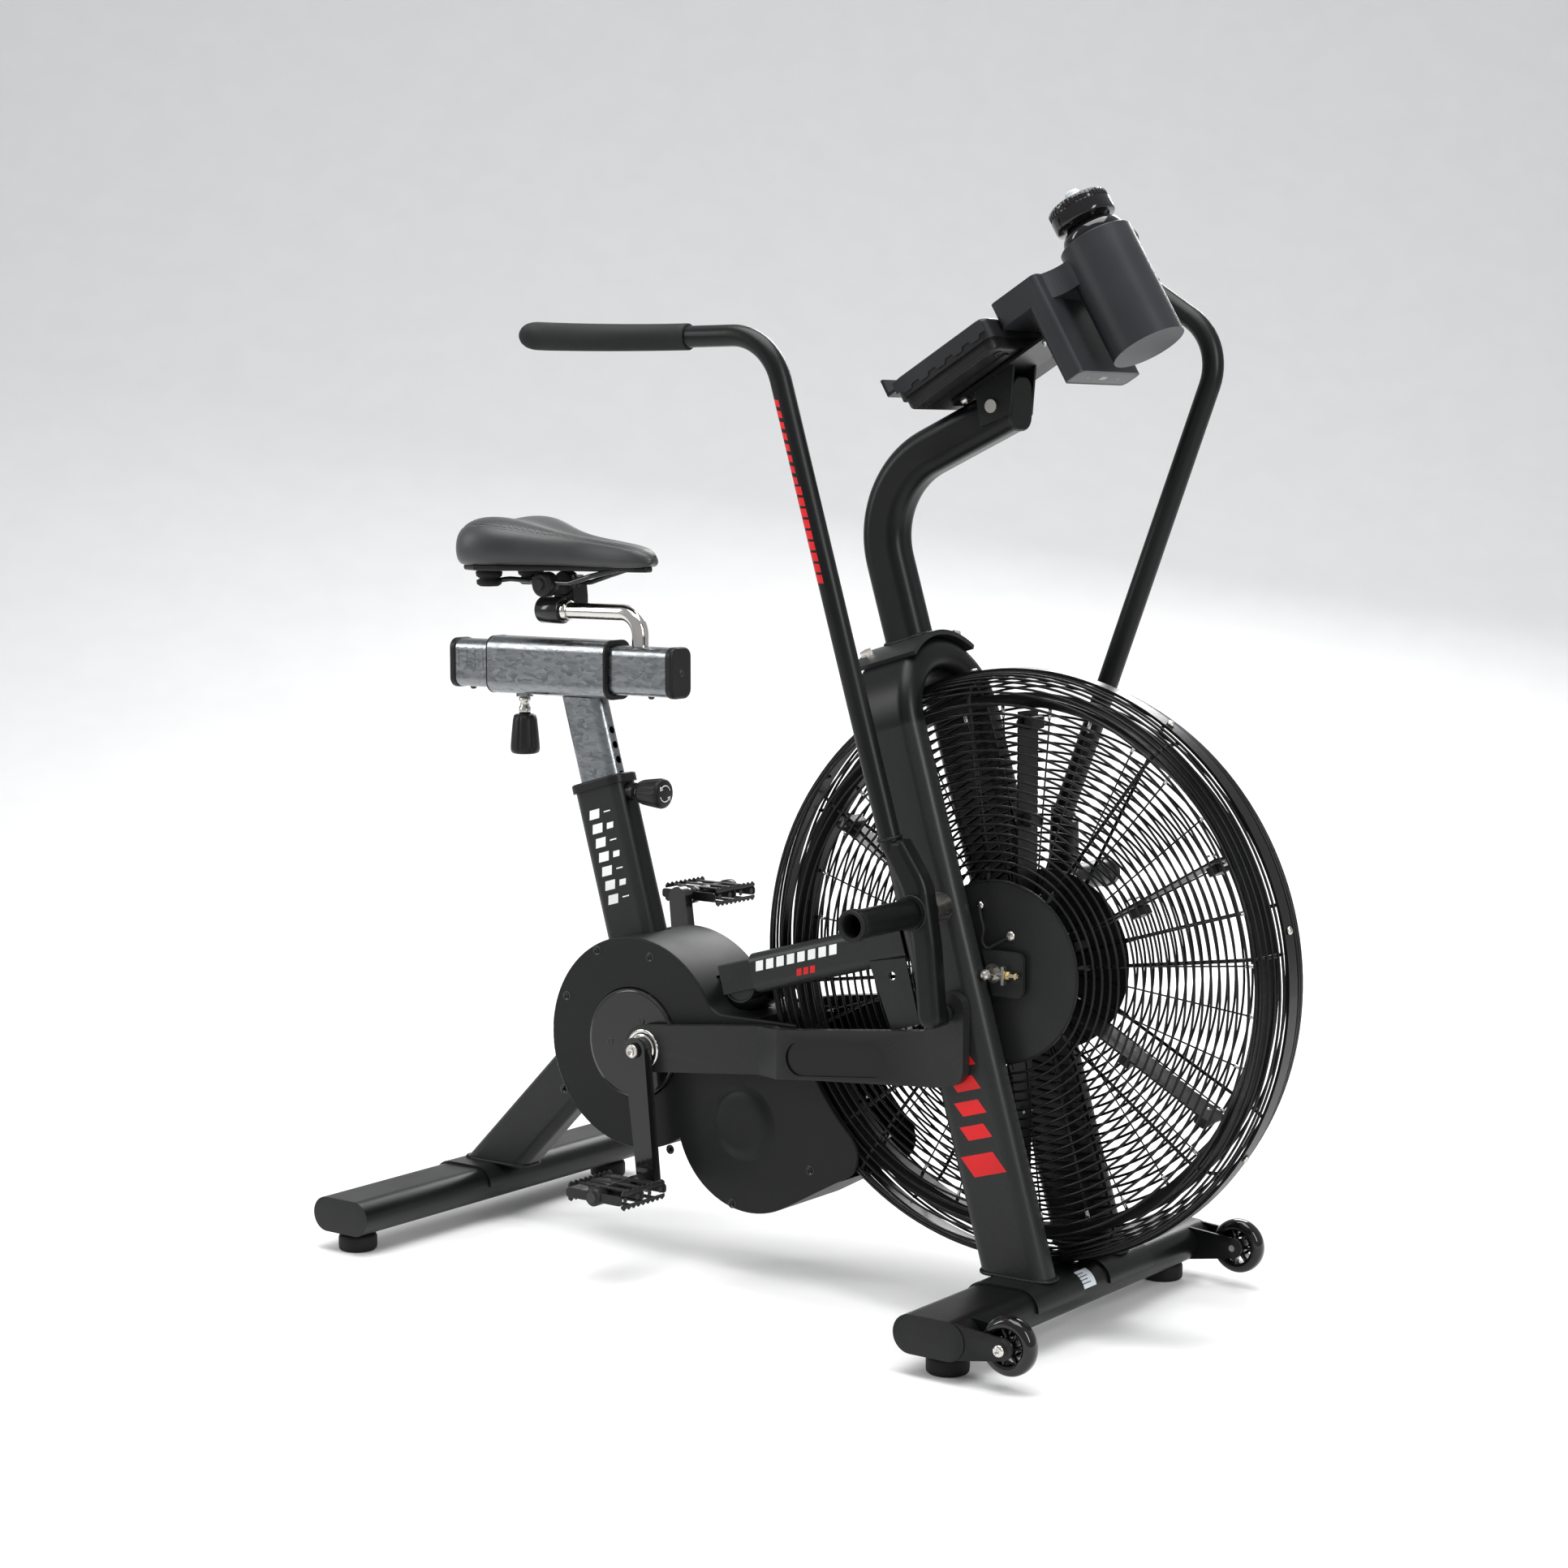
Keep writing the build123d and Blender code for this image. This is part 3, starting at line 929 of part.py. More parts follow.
def console_box(depth, low, high, width, radius):
    """Rounded rectangle on the console's face between two heights."""
    with BuildSketch(console_plane(depth)) as face:
        with Locations((0, (low + high) / 2)):
            RectangleRounded(width, high - low, radius)
    return face.sketch


def console_round(depth, radius):
    """Round face on the bottle's axis."""
    with BuildSketch(console_plane(depth)) as face:
        with Locations((0, CUP_S)):
            Circle(radius)
    return face.sketch


with BuildPart() as console_rear:
    extrude(console_box(FRONT_T + REAR_T, 4, CONSOLE_H - 4, CONSOLE_W - 8, 12), amount=REAR_T)
    fillet(edges().group_by(Axis(at(0, 0, 0), console_out))[0], radius=5)
save(console_rear, "console_rear")

with BuildPart() as console_front:
    extrude(console_box(FRONT_T, 0, CONSOLE_H, CONSOLE_W, 14), amount=FRONT_T)
    fillet(edges().group_by(Axis(at(0, 0, 0), console_out))[-1], radius=5)
    extrude(console_box(2, 56, 128, 120, 4), amount=10, mode=Mode.SUBTRACT)
    with BuildSketch(console_plane(KEY_T - 1)):
        with Locations((-KEY_X, KEY_S), (KEY_X, KEY_S)):
            RectangleRounded(KEY_W + 2 * GAP, KEY_H + 2 * GAP, 5)
    extrude(amount=10, mode=Mode.SUBTRACT)
save(console_front, "console_front")

key_travel = 1.2
for key_name, key_x in (("mode_key", KEY_X), ("reset_key", -KEY_X)):
    with BuildPart() as console_key:
        with BuildSketch(console_plane(KEY_T - 1 - key_travel - GAP)):
            with Locations((key_x, KEY_S)):
                RectangleRounded(KEY_W, KEY_H, 5)
        extrude(amount=KEY_T - 1)
    save(console_key, key_name)

with BuildPart() as console_bracket:
    plate_back = FRONT_T + REAR_T + 6
    extrude(console_box(plate_back, PLATE_LOW, PLATE_HIGH, 2 * BRACKET_Y, 6), amount=4)
    extrude(console_box(plate_back - 4, 20, 120, 40, 6), amount=2)
    for lug_y in (MAST_T / 2 + 0.2 + LUG_T, -MAST_T / 2 - 0.2):
        with BuildSketch(side(lug_y)):
            with BuildLine():
                Polyline((492, 1110.5), (545, 1141.5), (540, 1082), (500, 1068), close=True)
            make_face()
        extrude(amount=LUG_T)
save(console_bracket, "console_bracket")

with BuildPart() as device_ledge:
    extrude(console_box(0, -31, 25, 2 * LEDGE_Y, 4), amount=4)
    extrude(console_box(0, -31, -27, 2 * LEDGE_Y, 1), amount=22)
save(device_ledge, "device_ledge")

with BuildPart() as bottle_holder:
    extrude(console_box(18, HOLDER_LOW, HOLDER_HIGH, 2 * HOLDER_Y, 8), amount=32)
    extrude(console_box(LEG_DEPTH, LEG_LOW, HOLDER_HIGH, 2 * HOLDER_Y, 8), amount=LEG_DEPTH)
    extrude(console_box(18, HOLDER_HIGH - 10, CUP_S, 2 * CUP_R - 14, 2), amount=32)
    extrude(console_round(CUP_FLOOR + 3, CUP_R), amount=CUP_FLOOR + 3 - CUP_TOP)
    extrude(console_round(CUP_FLOOR, CUP_BORE), amount=CUP_FLOOR - CUP_TOP, mode=Mode.SUBTRACT)
    extrude(console_box(LEG_DEPTH, LEG_LOW + 3, HOLDER_HIGH - 3, 2 * HOLDER_Y - 6, 6),
            amount=LEG_DEPTH + 11, mode=Mode.SUBTRACT)
    extrude(console_box(15, HOLDER_LOW + 3, LEG_LOW + 2, 2 * HOLDER_Y - 6, 6), amount=26,
            mode=Mode.SUBTRACT)
    extrude(console_box(plate_back, PLATE_LOW, PLATE_HIGH, 2 * BRACKET_Y + 1, 6), amount=6,
            mode=Mode.SUBTRACT)
save(bottle_holder, "bottle_holder")

with BuildPart() as bottle:
    extrude(console_round(CUP_FLOOR - 0.5, BOTTLE_R), amount=CUP_FLOOR + 32)
    fillet(edges().group_by(Axis(at(0, 0, 0), console_out))[-1], radius=10)
    fillet(edges().group_by(Axis(at(0, 0, 0), console_out))[0], radius=5)
    extrude(console_round(-30, BOTTLE_NECK), amount=19)
    extrude(console_round(-30, BOTTLE_NECK - 2), amount=20, mode=Mode.SUBTRACT)
    extrude(console_round(CUP_FLOOR - 3, BOTTLE_R - 5), amount=CUP_FLOOR + 25, mode=Mode.SUBTRACT)
    extrude(console_round(-20, BOTTLE_NECK - 2), amount=20, mode=Mode.SUBTRACT)
save(bottle, "bottle")

with BuildPart() as bottle_lid:
    extrude(console_round(-50, LID_R), amount=-50 - LID_TOP)
    fillet(edges().group_by(Axis(at(0, 0, 0), console_out))[-1], radius=5)
    extrude(console_round(-33, BOTTLE_NECK + 3), amount=20)
    extrude(console_round(-30, BOTTLE_NECK), amount=19, mode=Mode.SUBTRACT)
    extrude(console_round(-30, 6.1), amount=60, mode=Mode.SUBTRACT)
save(bottle_lid, "bottle_lid")

with BuildPart() as bottle_valve:
    extrude(console_round(-64, 6.05), amount=18)
    extrude(console_round(LID_TOP - 0.5, 9), amount=LID_TOP - 0.5 - VALVE_TOP)
    fillet(edges().group_by(Axis(at(0, 0, 0), console_out))[-1], radius=3)
save(bottle_valve, "bottle_valve")

# ---------------------------------------------------------------- fasteners and fixed axles
HEAD_R, HEAD_T, BUTTON_R = 8.0, 6.0, 7.0
AXLE_TIP_Y = 157.6       # end of a handle arm's fixed axle
COLLAR_R = 18.0

with BuildPart() as frame_fasteners:
    extrude(disc(86, FAN_DX, FAN_Z, FAN_AXLE_R), amount=172)
    for nut_y in (80, -bracket_inner - BRACKET_T):
        with BuildSketch(side(nut_y, FAN_DX, FAN_Z)):
            RegularPolygon(8, 6)
        extrude(amount=80 - bracket_inner - BRACKET_T)
    for hand in (-1, 1):
        bolt_outer = fork_outer_y + PLATE_T
        bolt_y = bolt_outer if hand > 0 else -fork_inner_y
        extrude(disc(bolt_y, WHEEL_DX, WHEEL_Z, AXLE_BOLT_R), amount=bolt_outer - fork_inner_y)
        head_y = bolt_outer + 4 if hand > 0 else -bolt_outer
        extrude(disc(head_y, WHEEL_DX, WHEEL_Z, BUTTON_R), amount=4)
        pivot_y = AXLE_TIP_Y if hand > 0 else -LEG_Y - LEG_T / 2
        extrude(disc(pivot_y, ARM_DX, ARM_Z, ARM_AXLE_R), amount=AXLE_TIP_Y - LEG_Y - LEG_T / 2)
        spacer_y = lever_inner - 1 if hand > 0 else -LEG_Y - LEG_T / 2
        extrude(disc(spacer_y, ARM_DX, ARM_Z, COLLAR_R), amount=lever_inner - 1 - LEG_Y - LEG_T / 2)
        flange_up = up * cos(radians(24)) + Vector(0, hand * sin(radians(24)), 0)
        flange_spot = crown_centre + flange_up * (crown_r + FLANGE_T) + ahead * hand * 36
        with BuildSketch(Plane(flange_spot, x_dir=ahead, z_dir=flange_up)):
            RegularPolygon(HEAD_R, 6)
        extrude(amount=HEAD_T)
        lug_face = MAST_T / 2 + 0.2 + LUG_T
        extrude(disc(lug_face + 5 if hand > 0 else -lug_face, 517, 1092, HEAD_R), amount=5)
save(frame_fasteners, "frame_fasteners")
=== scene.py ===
"""Looks of the air bike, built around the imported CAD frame. Metres; +X forwards, +Y left, +Z up."""
import json
from contextlib import contextmanager
from math import ceil, cos, pi, radians, sin, sqrt

import bmesh
import bpy
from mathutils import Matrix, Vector
from mathutils.bvhtree import BVHTree


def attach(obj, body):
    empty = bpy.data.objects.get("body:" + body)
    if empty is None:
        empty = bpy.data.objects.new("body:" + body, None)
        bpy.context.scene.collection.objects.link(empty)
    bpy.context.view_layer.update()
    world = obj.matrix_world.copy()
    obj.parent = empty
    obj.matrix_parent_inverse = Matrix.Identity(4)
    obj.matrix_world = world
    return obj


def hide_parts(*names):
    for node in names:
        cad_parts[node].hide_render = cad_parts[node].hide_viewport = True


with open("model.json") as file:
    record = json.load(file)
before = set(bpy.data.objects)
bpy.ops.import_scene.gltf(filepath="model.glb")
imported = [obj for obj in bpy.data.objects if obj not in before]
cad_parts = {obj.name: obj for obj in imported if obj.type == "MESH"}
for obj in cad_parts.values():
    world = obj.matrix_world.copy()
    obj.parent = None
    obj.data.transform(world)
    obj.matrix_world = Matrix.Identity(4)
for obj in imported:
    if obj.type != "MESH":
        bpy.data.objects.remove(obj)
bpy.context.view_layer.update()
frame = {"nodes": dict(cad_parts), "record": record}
nodes = frame["nodes"]

# ---- places, from the CAD
CRANK_X = -0.27225
FORWARD, LEFT, UP = Vector((1, 0, 0)), Vector((0, 1, 0)), Vector((0, 0, 1))
SIDES = (("right", -1), ("left", 1))


def at(dx, y, z):
    """Point given in millimetres: forward of the crank axle, leftwards, up."""
    return Vector((CRANK_X + dx / 1000, y / 1000, z / 1000))


def spoke(degrees_):
    """Unit vector in the side view, turned up from straight ahead."""
    a = radians(degrees_)
    return Vector((cos(a), 0, sin(a)))


FAN = at(551, 0, 428)
ARM_PIVOT, SWING = at(498, 0, 506), radians(33)
KNEE, WELD, ARM_R = at(312, -188, 1175), at(463, -152, 578), 0.013
ARM_AXIS = (KNEE - WELD).normalized()


def to_left(p):
    """Where a point of the right arm lands on the left one."""
    q = Vector((p.x, -p.y, p.z)) - ARM_PIVOT
    return ARM_PIVOT + Vector((q.x * cos(SWING) + q.z * sin(SWING), q.y, -q.x * sin(SWING) + q.z * cos(SWING)))


ARMS = (("right", lambda p: p), ("left", to_left))


# ---- node helpers for materials
def feed(tree, n, inputs):
    """Sets a node's inputs: a socket is linked, anything else is a fixed value."""
    for key, value in inputs.items():
        if isinstance(value, bpy.types.NodeSocket):
            tree.links.new(value, n.inputs[key])
        else:
            n.inputs[key].default_value = value
    return n


def node(tree, kind, inputs, **settings):
    n = tree.nodes.new("ShaderNode" + kind)
    for key, value in settings.items():
        setattr(n, key, value)
    return feed(tree, n, inputs)


def noise(tree, place, scale, detail=2.0):
    return node(tree, "TexNoise", {"Vector": place, "Scale": scale, "Detail": detail}).outputs["Fac"]


def ramp(tree, source, *stops):
    """Maps a factor onto greys or colours; stops are (place, value)."""
    n = node(tree, "ValToRGB", {"Fac": source})
    elements = n.color_ramp.elements
    while len(elements) < len(stops):
        elements.new(0.5)
    for element, (place, value) in zip(elements, stops):
        element.position = place
        element.color = (*(value if isinstance(value, tuple) else (value,) * 3), 1)
    return n.outputs["Color"]


def bumped(tree, height, strength, distance, **under):
    inputs = {"Height": height, "Strength": strength, "Distance": distance, **under}
    return node(tree, "Bump", inputs).outputs["Normal"]


def shade(color, factor):
    return tuple(c * factor for c in color)


def new_material(name):
    mat = bpy.data.materials.new(name)
    mat.use_nodes = True
    tree = mat.node_tree
    return mat, tree, node(tree, "TexCoord", {}).outputs["Object"], tree.nodes["Principled BSDF"]


def coat_material(name, color, rough=(0.3, 0.42), grain=900.0, bump=0.12, wear=0.0, coat=0.0, blotch=7.0,
                  distance=0.0003, spread=0.14):
    """Painted, coated or moulded surface: fine grain, uneven gloss and lighter worn edges."""
    mat, tree, place, bsdf = new_material(name)
    fine, large = noise(tree, place, grain, 3), noise(tree, place, blotch, 5)
    base = ramp(tree, large, (0.35, shade(color, 1 - spread)), (0.65, shade(color, 1 + spread)))
    if wear > 0:
        pointed = node(tree, "NewGeometry", {}).outputs["Pointiness"]
        edge = ramp(tree, pointed, (0.53, 0.0), (0.62, 1.0))
        patchy = node(tree, "Math", {0: edge, 1: fine}, operation="MULTIPLY").outputs[0]
        worn = (*(min(1, c * 2 + wear) for c in color), 1)
        base = node(tree, "Mix", {0: patchy, 6: base, 7: worn}, data_type="RGBA").outputs[2]
    feed(tree, bsdf, {"Base Color": base, "Roughness": ramp(tree, large, (0.3, rough[0]), (0.7, rough[1])),
                      "Specular IOR Level": 0.2, "Coat Weight": coat,
                      "Normal": bumped(tree, fine, bump, distance)})
    return mat


def zinc_material(name):
    """Galvanised steel: flat crystals of different grey, fine drawing lines and soft highlights."""
    mat, tree, place, bsdf = new_material(name)
    warp = node(tree, "TexNoise", {"Vector": place, "Scale": 30}).outputs["Color"]
    stretched = node(tree, "Mapping", {"Vector": place, "Scale": (0.9, 2.4, 2.4)}).outputs["Vector"]
    shifted = node(tree, "Mix", {0: 0.04, 4: stretched, 5: warp}, data_type="VECTOR").outputs[1]
    crystals = node(tree, "TexVoronoi", {"Vector": shifted, "Scale": 120}).outputs["Color"]
    split = node(tree, "SeparateColor", {"Color": crystals}).outputs
    drawn = node(tree, "Mapping", {"Vector": place, "Scale": (0.06, 1.0, 1.0)}).outputs["Vector"]
    greys = (0.0, (0.17, 0.18, 0.185)), (0.5, (0.195, 0.207, 0.213)), (1.0, (0.225, 0.235, 0.24))
    feed(tree, bsdf, {"Base Color": ramp(tree, split[0], *greys), "Metallic": 1.0,
                      "Roughness": ramp(tree, split[1], (0.0, 0.22), (1.0, 0.36)),
                      "Normal": bumped(tree, noise(tree, drawn, 260, 4), 0.25, 0.0004)})
    return mat


def metal_material(name, color, rough):
    """Bare or plated metal: fine scratches and finger-marked gloss."""
    mat, tree, place, bsdf = new_material(name)
    smear = noise(tree, place, 24, 6)
    feed(tree, bsdf, {"Metallic": 1.0,
                      "Base Color": ramp(tree, smear, (0.3, shade(color, 0.85)), (0.7, color)),
                      "Roughness": ramp(tree, smear, (0.3, rough[0]), (0.7, rough[1])),
                      "Normal": bumped(tree, noise(tree, place, 500), 0.1, 0.0002)})
    return mat


def vinyl_material(name, color, perforated=False):
    """Saddle skin: leather-like pebble, and rows of small holes where it is perforated, painted near black as
    the shade inside them.
    """
    mat, tree, place, bsdf = new_material(name)
    pebble = node(tree, "TexVoronoi", {"Vector": place, "Scale": 900}).outputs["Distance"]
    large = noise(tree, place, 14)
    base = ramp(tree, large, (0.3, shade(color, 0.8)), (0.7, shade(color, 1.25)))
    normal = bumped(tree, pebble, 0.3, 0.0003)
    if perforated:
        grid = node(tree, "TexVoronoi", {"Vector": place, "Scale": 230, "Randomness": 0.0},
                    voronoi_dimensions="2D").outputs["Distance"]
        hole = ramp(tree, grid, (0.18, 0.0), (0.26, 1.0))
        # the holes are painted near black: painted shade for the inside of each hole
        painted_hole_shade = (0.001, 0.001, 0.001, 1)
        base = node(tree, "Mix", {0: hole, 6: painted_hole_shade, 7: base}, data_type="RGBA").outputs[2]
        normal = bumped(tree, hole, 0.7, 0.0007, Normal=normal)
    feed(tree, bsdf, {"Base Color": base, "Roughness": ramp(tree, large, (0.3, 0.38), (0.7, 0.52)),
                      "Normal": normal, "Sheen Weight": 0.08})
    return mat


powder = coat_material("powder_coat", (0.0032, 0.0035, 0.0037), (0.30, 0.40), 1100, 0.22, wear=0.02)
link_coat = coat_material("link_coat", (0.0042, 0.0044, 0.0046), (0.26, 0.36), 1100, 0.2, wear=0.02)
enamel = coat_material("enamel", (0.006, 0.006, 0.0065), (0.14, 0.22), 500, 0.05, wear=0.03, coat=0.3)
wire_coat = coat_material("wire_coat", (0.0045, 0.0045, 0.005), (0.24, 0.36), 700, 0.2)
rotor_coat = coat_material("rotor_coat", (0.005, 0.005, 0.0055), (0.32, 0.48), 600, 0.3)
cover_grain = coat_material("cover_grain", (0.0042, 0.0046, 0.0048), (0.42, 0.54), 1500, 0.35)
satin_plastic = coat_material("satin_plastic", (0.018, 0.019, 0.021), (0.30, 0.38), 1300, 0.15)
dark_plastic = coat_material("dark_plastic", (0.008, 0.008, 0.0085), (0.34, 0.46), 1200, 0.25)
gloss_black = coat_material("gloss_black", (0.0045, 0.0045, 0.005), (0.07, 0.13), 90, 0.04, coat=0.4)
nylon = coat_material("nylon", (0.006, 0.006, 0.0065), (0.26, 0.42), 800, 0.3, wear=0.03)
rubber = coat_material("rubber", (0.0075, 0.0075, 0.0075), (0.55, 0.75), 420, 0.5)
foam = coat_material("foam", (0.0125, 0.0135, 0.0135), (0.62, 0.8), 520, 0.55, distance=0.0005)
belt_rubber = coat_material("belt_rubber", (0.006, 0.006, 0.006), (0.5, 0.7), 300, 0.4)
clear = coat_material("clear_plastic", (0.42, 0.46, 0.48), (0.18, 0.28), 200, 0.05, coat=0.2)
red_ink = coat_material("red_ink", (0.55, 0.012, 0.014), (0.3, 0.42), 1100, 0.2)
white_ink = coat_material("white_ink", (0.78, 0.78, 0.78), (0.3, 0.42), 1100, 0.2)
grey_ink = coat_material("grey_ink", (0.05, 0.05, 0.052), (0.5, 0.6), 1100, 0.1)
label_paper = coat_material("label_paper", (0.62, 0.66, 0.70), (0.35, 0.5), 300, 0.1)
thread = coat_material("thread", (0.22, 0.22, 0.23), (0.7, 0.85), 2500, 0.6)
screen_film = coat_material("display_film", (0.012, 0.014, 0.015), (0.08, 0.14), 60, 0.02, coat=0.5)
screen_grey = coat_material("display_grey", (0.22, 0.25, 0.23), (0.12, 0.2), 60, 0.02, coat=0.3)
floor_paint = coat_material("floor_paint", (0.82, 0.82, 0.82), (0.75, 0.85), 40, 0.02, blotch=9.0, spread=0.01)
zinc = zinc_material("zinc_spangle")
chrome = metal_material("chrome", (0.62, 0.60, 0.57), (0.05, 0.14))
steel = metal_material("plated_steel", (0.52, 0.50, 0.46), (0.2, 0.38))
alloy = metal_material("turned_alloy", (0.45, 0.46, 0.47), (0.25, 0.4))
brass = metal_material("yellow_zinc", (0.55, 0.43, 0.20), (0.25, 0.4))
vinyl = vinyl_material("saddle_vinyl", (0.013, 0.0135, 0.0145))
vinyl_holes = vinyl_material("saddle_perforated", (0.0115, 0.012, 0.013), perforated=True)

by_slot = {
    "frame_black": powder, "rubber": rubber, "cover_black": cover_grain, "cage_black": wire_coat,
    "rotor_black": rotor_coat, "zinc": zinc, "chrome": chrome, "fastener_steel": steel,
    "link_black": link_coat, "crank_black": enamel, "pedal_black": nylon, "cap_black": dark_plastic,
    "saddle_vinyl": vinyl, "grip_foam": foam, "wheel_gloss": gloss_black,
    "console_plastic": dark_plastic, "holder_plastic": satin_plastic, "bottle_black": gloss_black,
    "valve_clear": clear, "belt_rubber": belt_rubber, "pulley_metal": alloy,
    "bracket_black": powder,
}
slot_of = {entry["node"]: entry["material_slot"] for entry in frame["record"]["subparts"]}
for name, obj in nodes.items():
    obj.data.materials.clear()
    obj.data.materials.append(by_slot[slot_of[name]])

# ---- stage, light and camera
YAW, PITCH = 36.42, 6.17
HALF_WIDTH, COVE = 16, 5
floor_mesh = bpy.data.meshes.new("floor")
floor_obj = bpy.data.objects.new("floor", floor_mesh)
bpy.context.collection.objects.link(floor_obj)
rows = [(-16 + 3 * k, 0) for k in range(7)]
rows += [(2 + COVE * sin(pi * k / 24), COVE * (1 - cos(pi * k / 24))) for k in range(1, 13)]
rows += [(2 + COVE, COVE + 1.6 * k) for k in range(1, 7)]
view_dir = Vector((-sin(radians(YAW)), cos(radians(YAW)), 0))
across = Vector((view_dir.y, -view_dir.x, 0))
bm = bmesh.new()
grid_rows = [[bm.verts.new(view_dir * u + across * v + UP * (h - 0.0002)) for v in (-HALF_WIDTH, 0, HALF_WIDTH)]
             for u, h in rows]
for lower, upper in zip(grid_rows, grid_rows[1:]):
    for i in range(2):
        bm.faces.new((lower[i], lower[i + 1], upper[i + 1], upper[i]))
bm.to_mesh(floor_mesh)
bm.free()
floor_mesh.polygons.foreach_set("use_smooth", [True] * len(floor_mesh.polygons))
floor_mesh.materials.append(floor_paint)

world = bpy.data.worlds.new("world")
bpy.context.scene.world = world
world.use_nodes = True
world.node_tree.nodes["Background"].inputs[0].default_value = (0.97, 0.98, 1.0, 1)
world.node_tree.nodes["Background"].inputs[1].default_value = 0.56
bpy.context.scene.view_settings.view_transform = "Standard"


def area_light(name, place, target, size, power):
    light = bpy.data.lights.new(name, "AREA")
    light.shape = "RECTANGLE"
    light.size, light.size_y = size
    light.energy = power
    obj = bpy.data.objects.new(name, light)
    bpy.context.collection.objects.link(obj)
    obj.location = place
    obj.rotation_euler = (Vector(target) - Vector(place)).to_track_quat("-Z", "Y").to_euler()


area_light("top_soft", (0.2, -0.2, 3.6), (0, 0, 0.6), (2.6, 2.6), 150)
area_light("front_left", (-3.0, -2.6, 2.3), (0, 0, 0.7), (0.7, 2.4), 62)
area_light("front_right", (3.6, -0.8, 2.2), (0.2, 0, 0.7), (0.7, 2.4), 78)
area_light("back_rim", (-1.2, 3.6, 2.6), (0, 0, 0.8), (2.0, 1.2), 90)

cam_data = bpy.data.cameras.new("camera")
cam = bpy.data.objects.new("camera", cam_data)
bpy.context.collection.objects.link(cam)
cam_data.sensor_width = 36
cam_data.lens = 69.45
cam.location = at(2442.4, -3047.8, 1032.7)
cam.rotation_euler = (radians(90 - PITCH), 0, radians(YAW))
cam_data.clip_end = 60
bpy.context.scene.camera = cam


# ---- mesh helpers
def from_bmesh(name, bm_, material, body, smooth=True):
    """Makes a mesh into a piece that rides on a CAD body."""
    bmesh.ops.recalc_face_normals(bm_, faces=bm_.faces)
    mesh = bpy.data.meshes.new(name)
    bm_.to_mesh(mesh)
    bm_.free()
    obj = bpy.data.objects.new(name, mesh)
    bpy.context.collection.objects.link(obj)
    mesh.materials.append(material)
    if smooth:
        mesh.polygons.foreach_set("use_smooth", [True] * len(mesh.polygons))
    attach(obj, body)
    return obj


def bevel(obj, width, segments=2, angle=40):
    """Softens a piece's edges."""
    mod = obj.modifiers.new("bevel", "BEVEL")
    mod.width = width
    mod.segments = segments
    mod.limit_method = "ANGLE"
    mod.angle_limit = radians(angle)
    mod.harden_normals = False


@contextmanager
def piece(name, material, body, slot_name, smooth=True, soften=(), replaces=None, fill=None):
    """Collects one piece's mesh; soften is what bevel takes, fill is not used."""
    bm_ = bmesh.new()
    yield bm_
    obj = from_bmesh(name, bm_, material, body, smooth)
    if soften:
        bevel(obj, *soften)
    if replaces:
        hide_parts(replaces)


def skin(bm_, loops, closed=False, ends=True):
    """Joins loops of points with quads, and closes both ends unless the loops come full circle."""
    pairs = list(zip(loops, loops[1:]))
    if closed:
        pairs.append((loops[-1], loops[0]))
    for a, b in pairs:
        for k in range(len(a)):
            bm_.faces.new((a[k - 1], a[k], b[k], b[k - 1]))
    if ends and not closed:
        bm_.faces.new(loops[0][::-1])
        bm_.faces.new(loops[-1])


def circle(centre, u, v, radius, count=40):
    """Points round a centre, in the plane of two unit vectors."""
    angles = [2 * pi * k / count for k in range(count)]
    return [centre + (u * cos(a) + v * sin(a)) * radius for a in angles]


def sweep_tube(bm_, points, radius, sides=8, closed=False):
    """Adds a round tube along a list of points; radius may be a list."""
    count = len(points)
    radii = radius if isinstance(radius, list) else [radius] * count
    loops = []
    normal = None
    for i, p in enumerate(points):
        before = points[(i - 1) % count] if (i > 0 or closed) else p
        after = points[(i + 1) % count] if (i < count - 1 or closed) else p
        tangent = (after - before).normalized()
        if normal is None:
            normal = UP if abs(tangent.z) < 0.9 else LEFT
        normal = (normal - tangent * normal.dot(tangent)).normalized()
        ring = circle(p, normal, tangent.cross(normal), radii[i], sides)
        loops.append([bm_.verts.new(q) for q in ring])
    skin(bm_, loops, closed)


def torus(bm_, centre, radius, wire, segments, sides=6, start=0.0, turn=360.0, axis=LEFT, spin=None):
    """Adds a ring of wire about an axis, whole or as an arc."""
    u = spin or axis.orthogonal().normalized()
    v = axis.cross(u)
    whole = turn >= 360
    steps = segments if whole else int(segments * turn / 360)
    angles = [radians(start + turn * i / steps) for i in range(steps if whole else steps + 1)]
    sweep_tube(bm_, [centre + (u * cos(a) + v * sin(a)) * radius for a in angles], wire, sides, whole)


def lathe(bm_, origin, axis, profile, segments=48, close=True):
    """Adds a turned shape: profile is a list of (radius, distance along the axis) in millimetres."""
    axis = axis.normalized()
    u = axis.orthogonal().normalized()
    v = axis.cross(u)
    loops = []
    for r, h in profile:
        base = origin + axis * h / 1000
        ring = circle(base, u, v, r / 1000, segments) if r else [base]
        loops.append([bm_.verts.new(q) for q in ring])
    for a, b in zip(loops, loops[1:]):
        for k in range(segments):
            corners = [a[k - 1], a[k]] if len(a) > 1 else a[:]
            corners += [b[k], b[k - 1]] if len(b) > 1 else b
            bm_.faces.new(corners)
    if close:
        for loop in (loops[0][::-1], loops[-1]):
            if len(loop) > 1:
                bm_.faces.new(loop)


def lathe_pair(bm_, dx, y, z, *shape):
    """Adds the same turned shape on both sides of the bike, facing outwards."""
    for y_sign in (-1, 1):
        lathe(bm_, at(dx, y_sign * y, z), LEFT * y_sign, *shape)


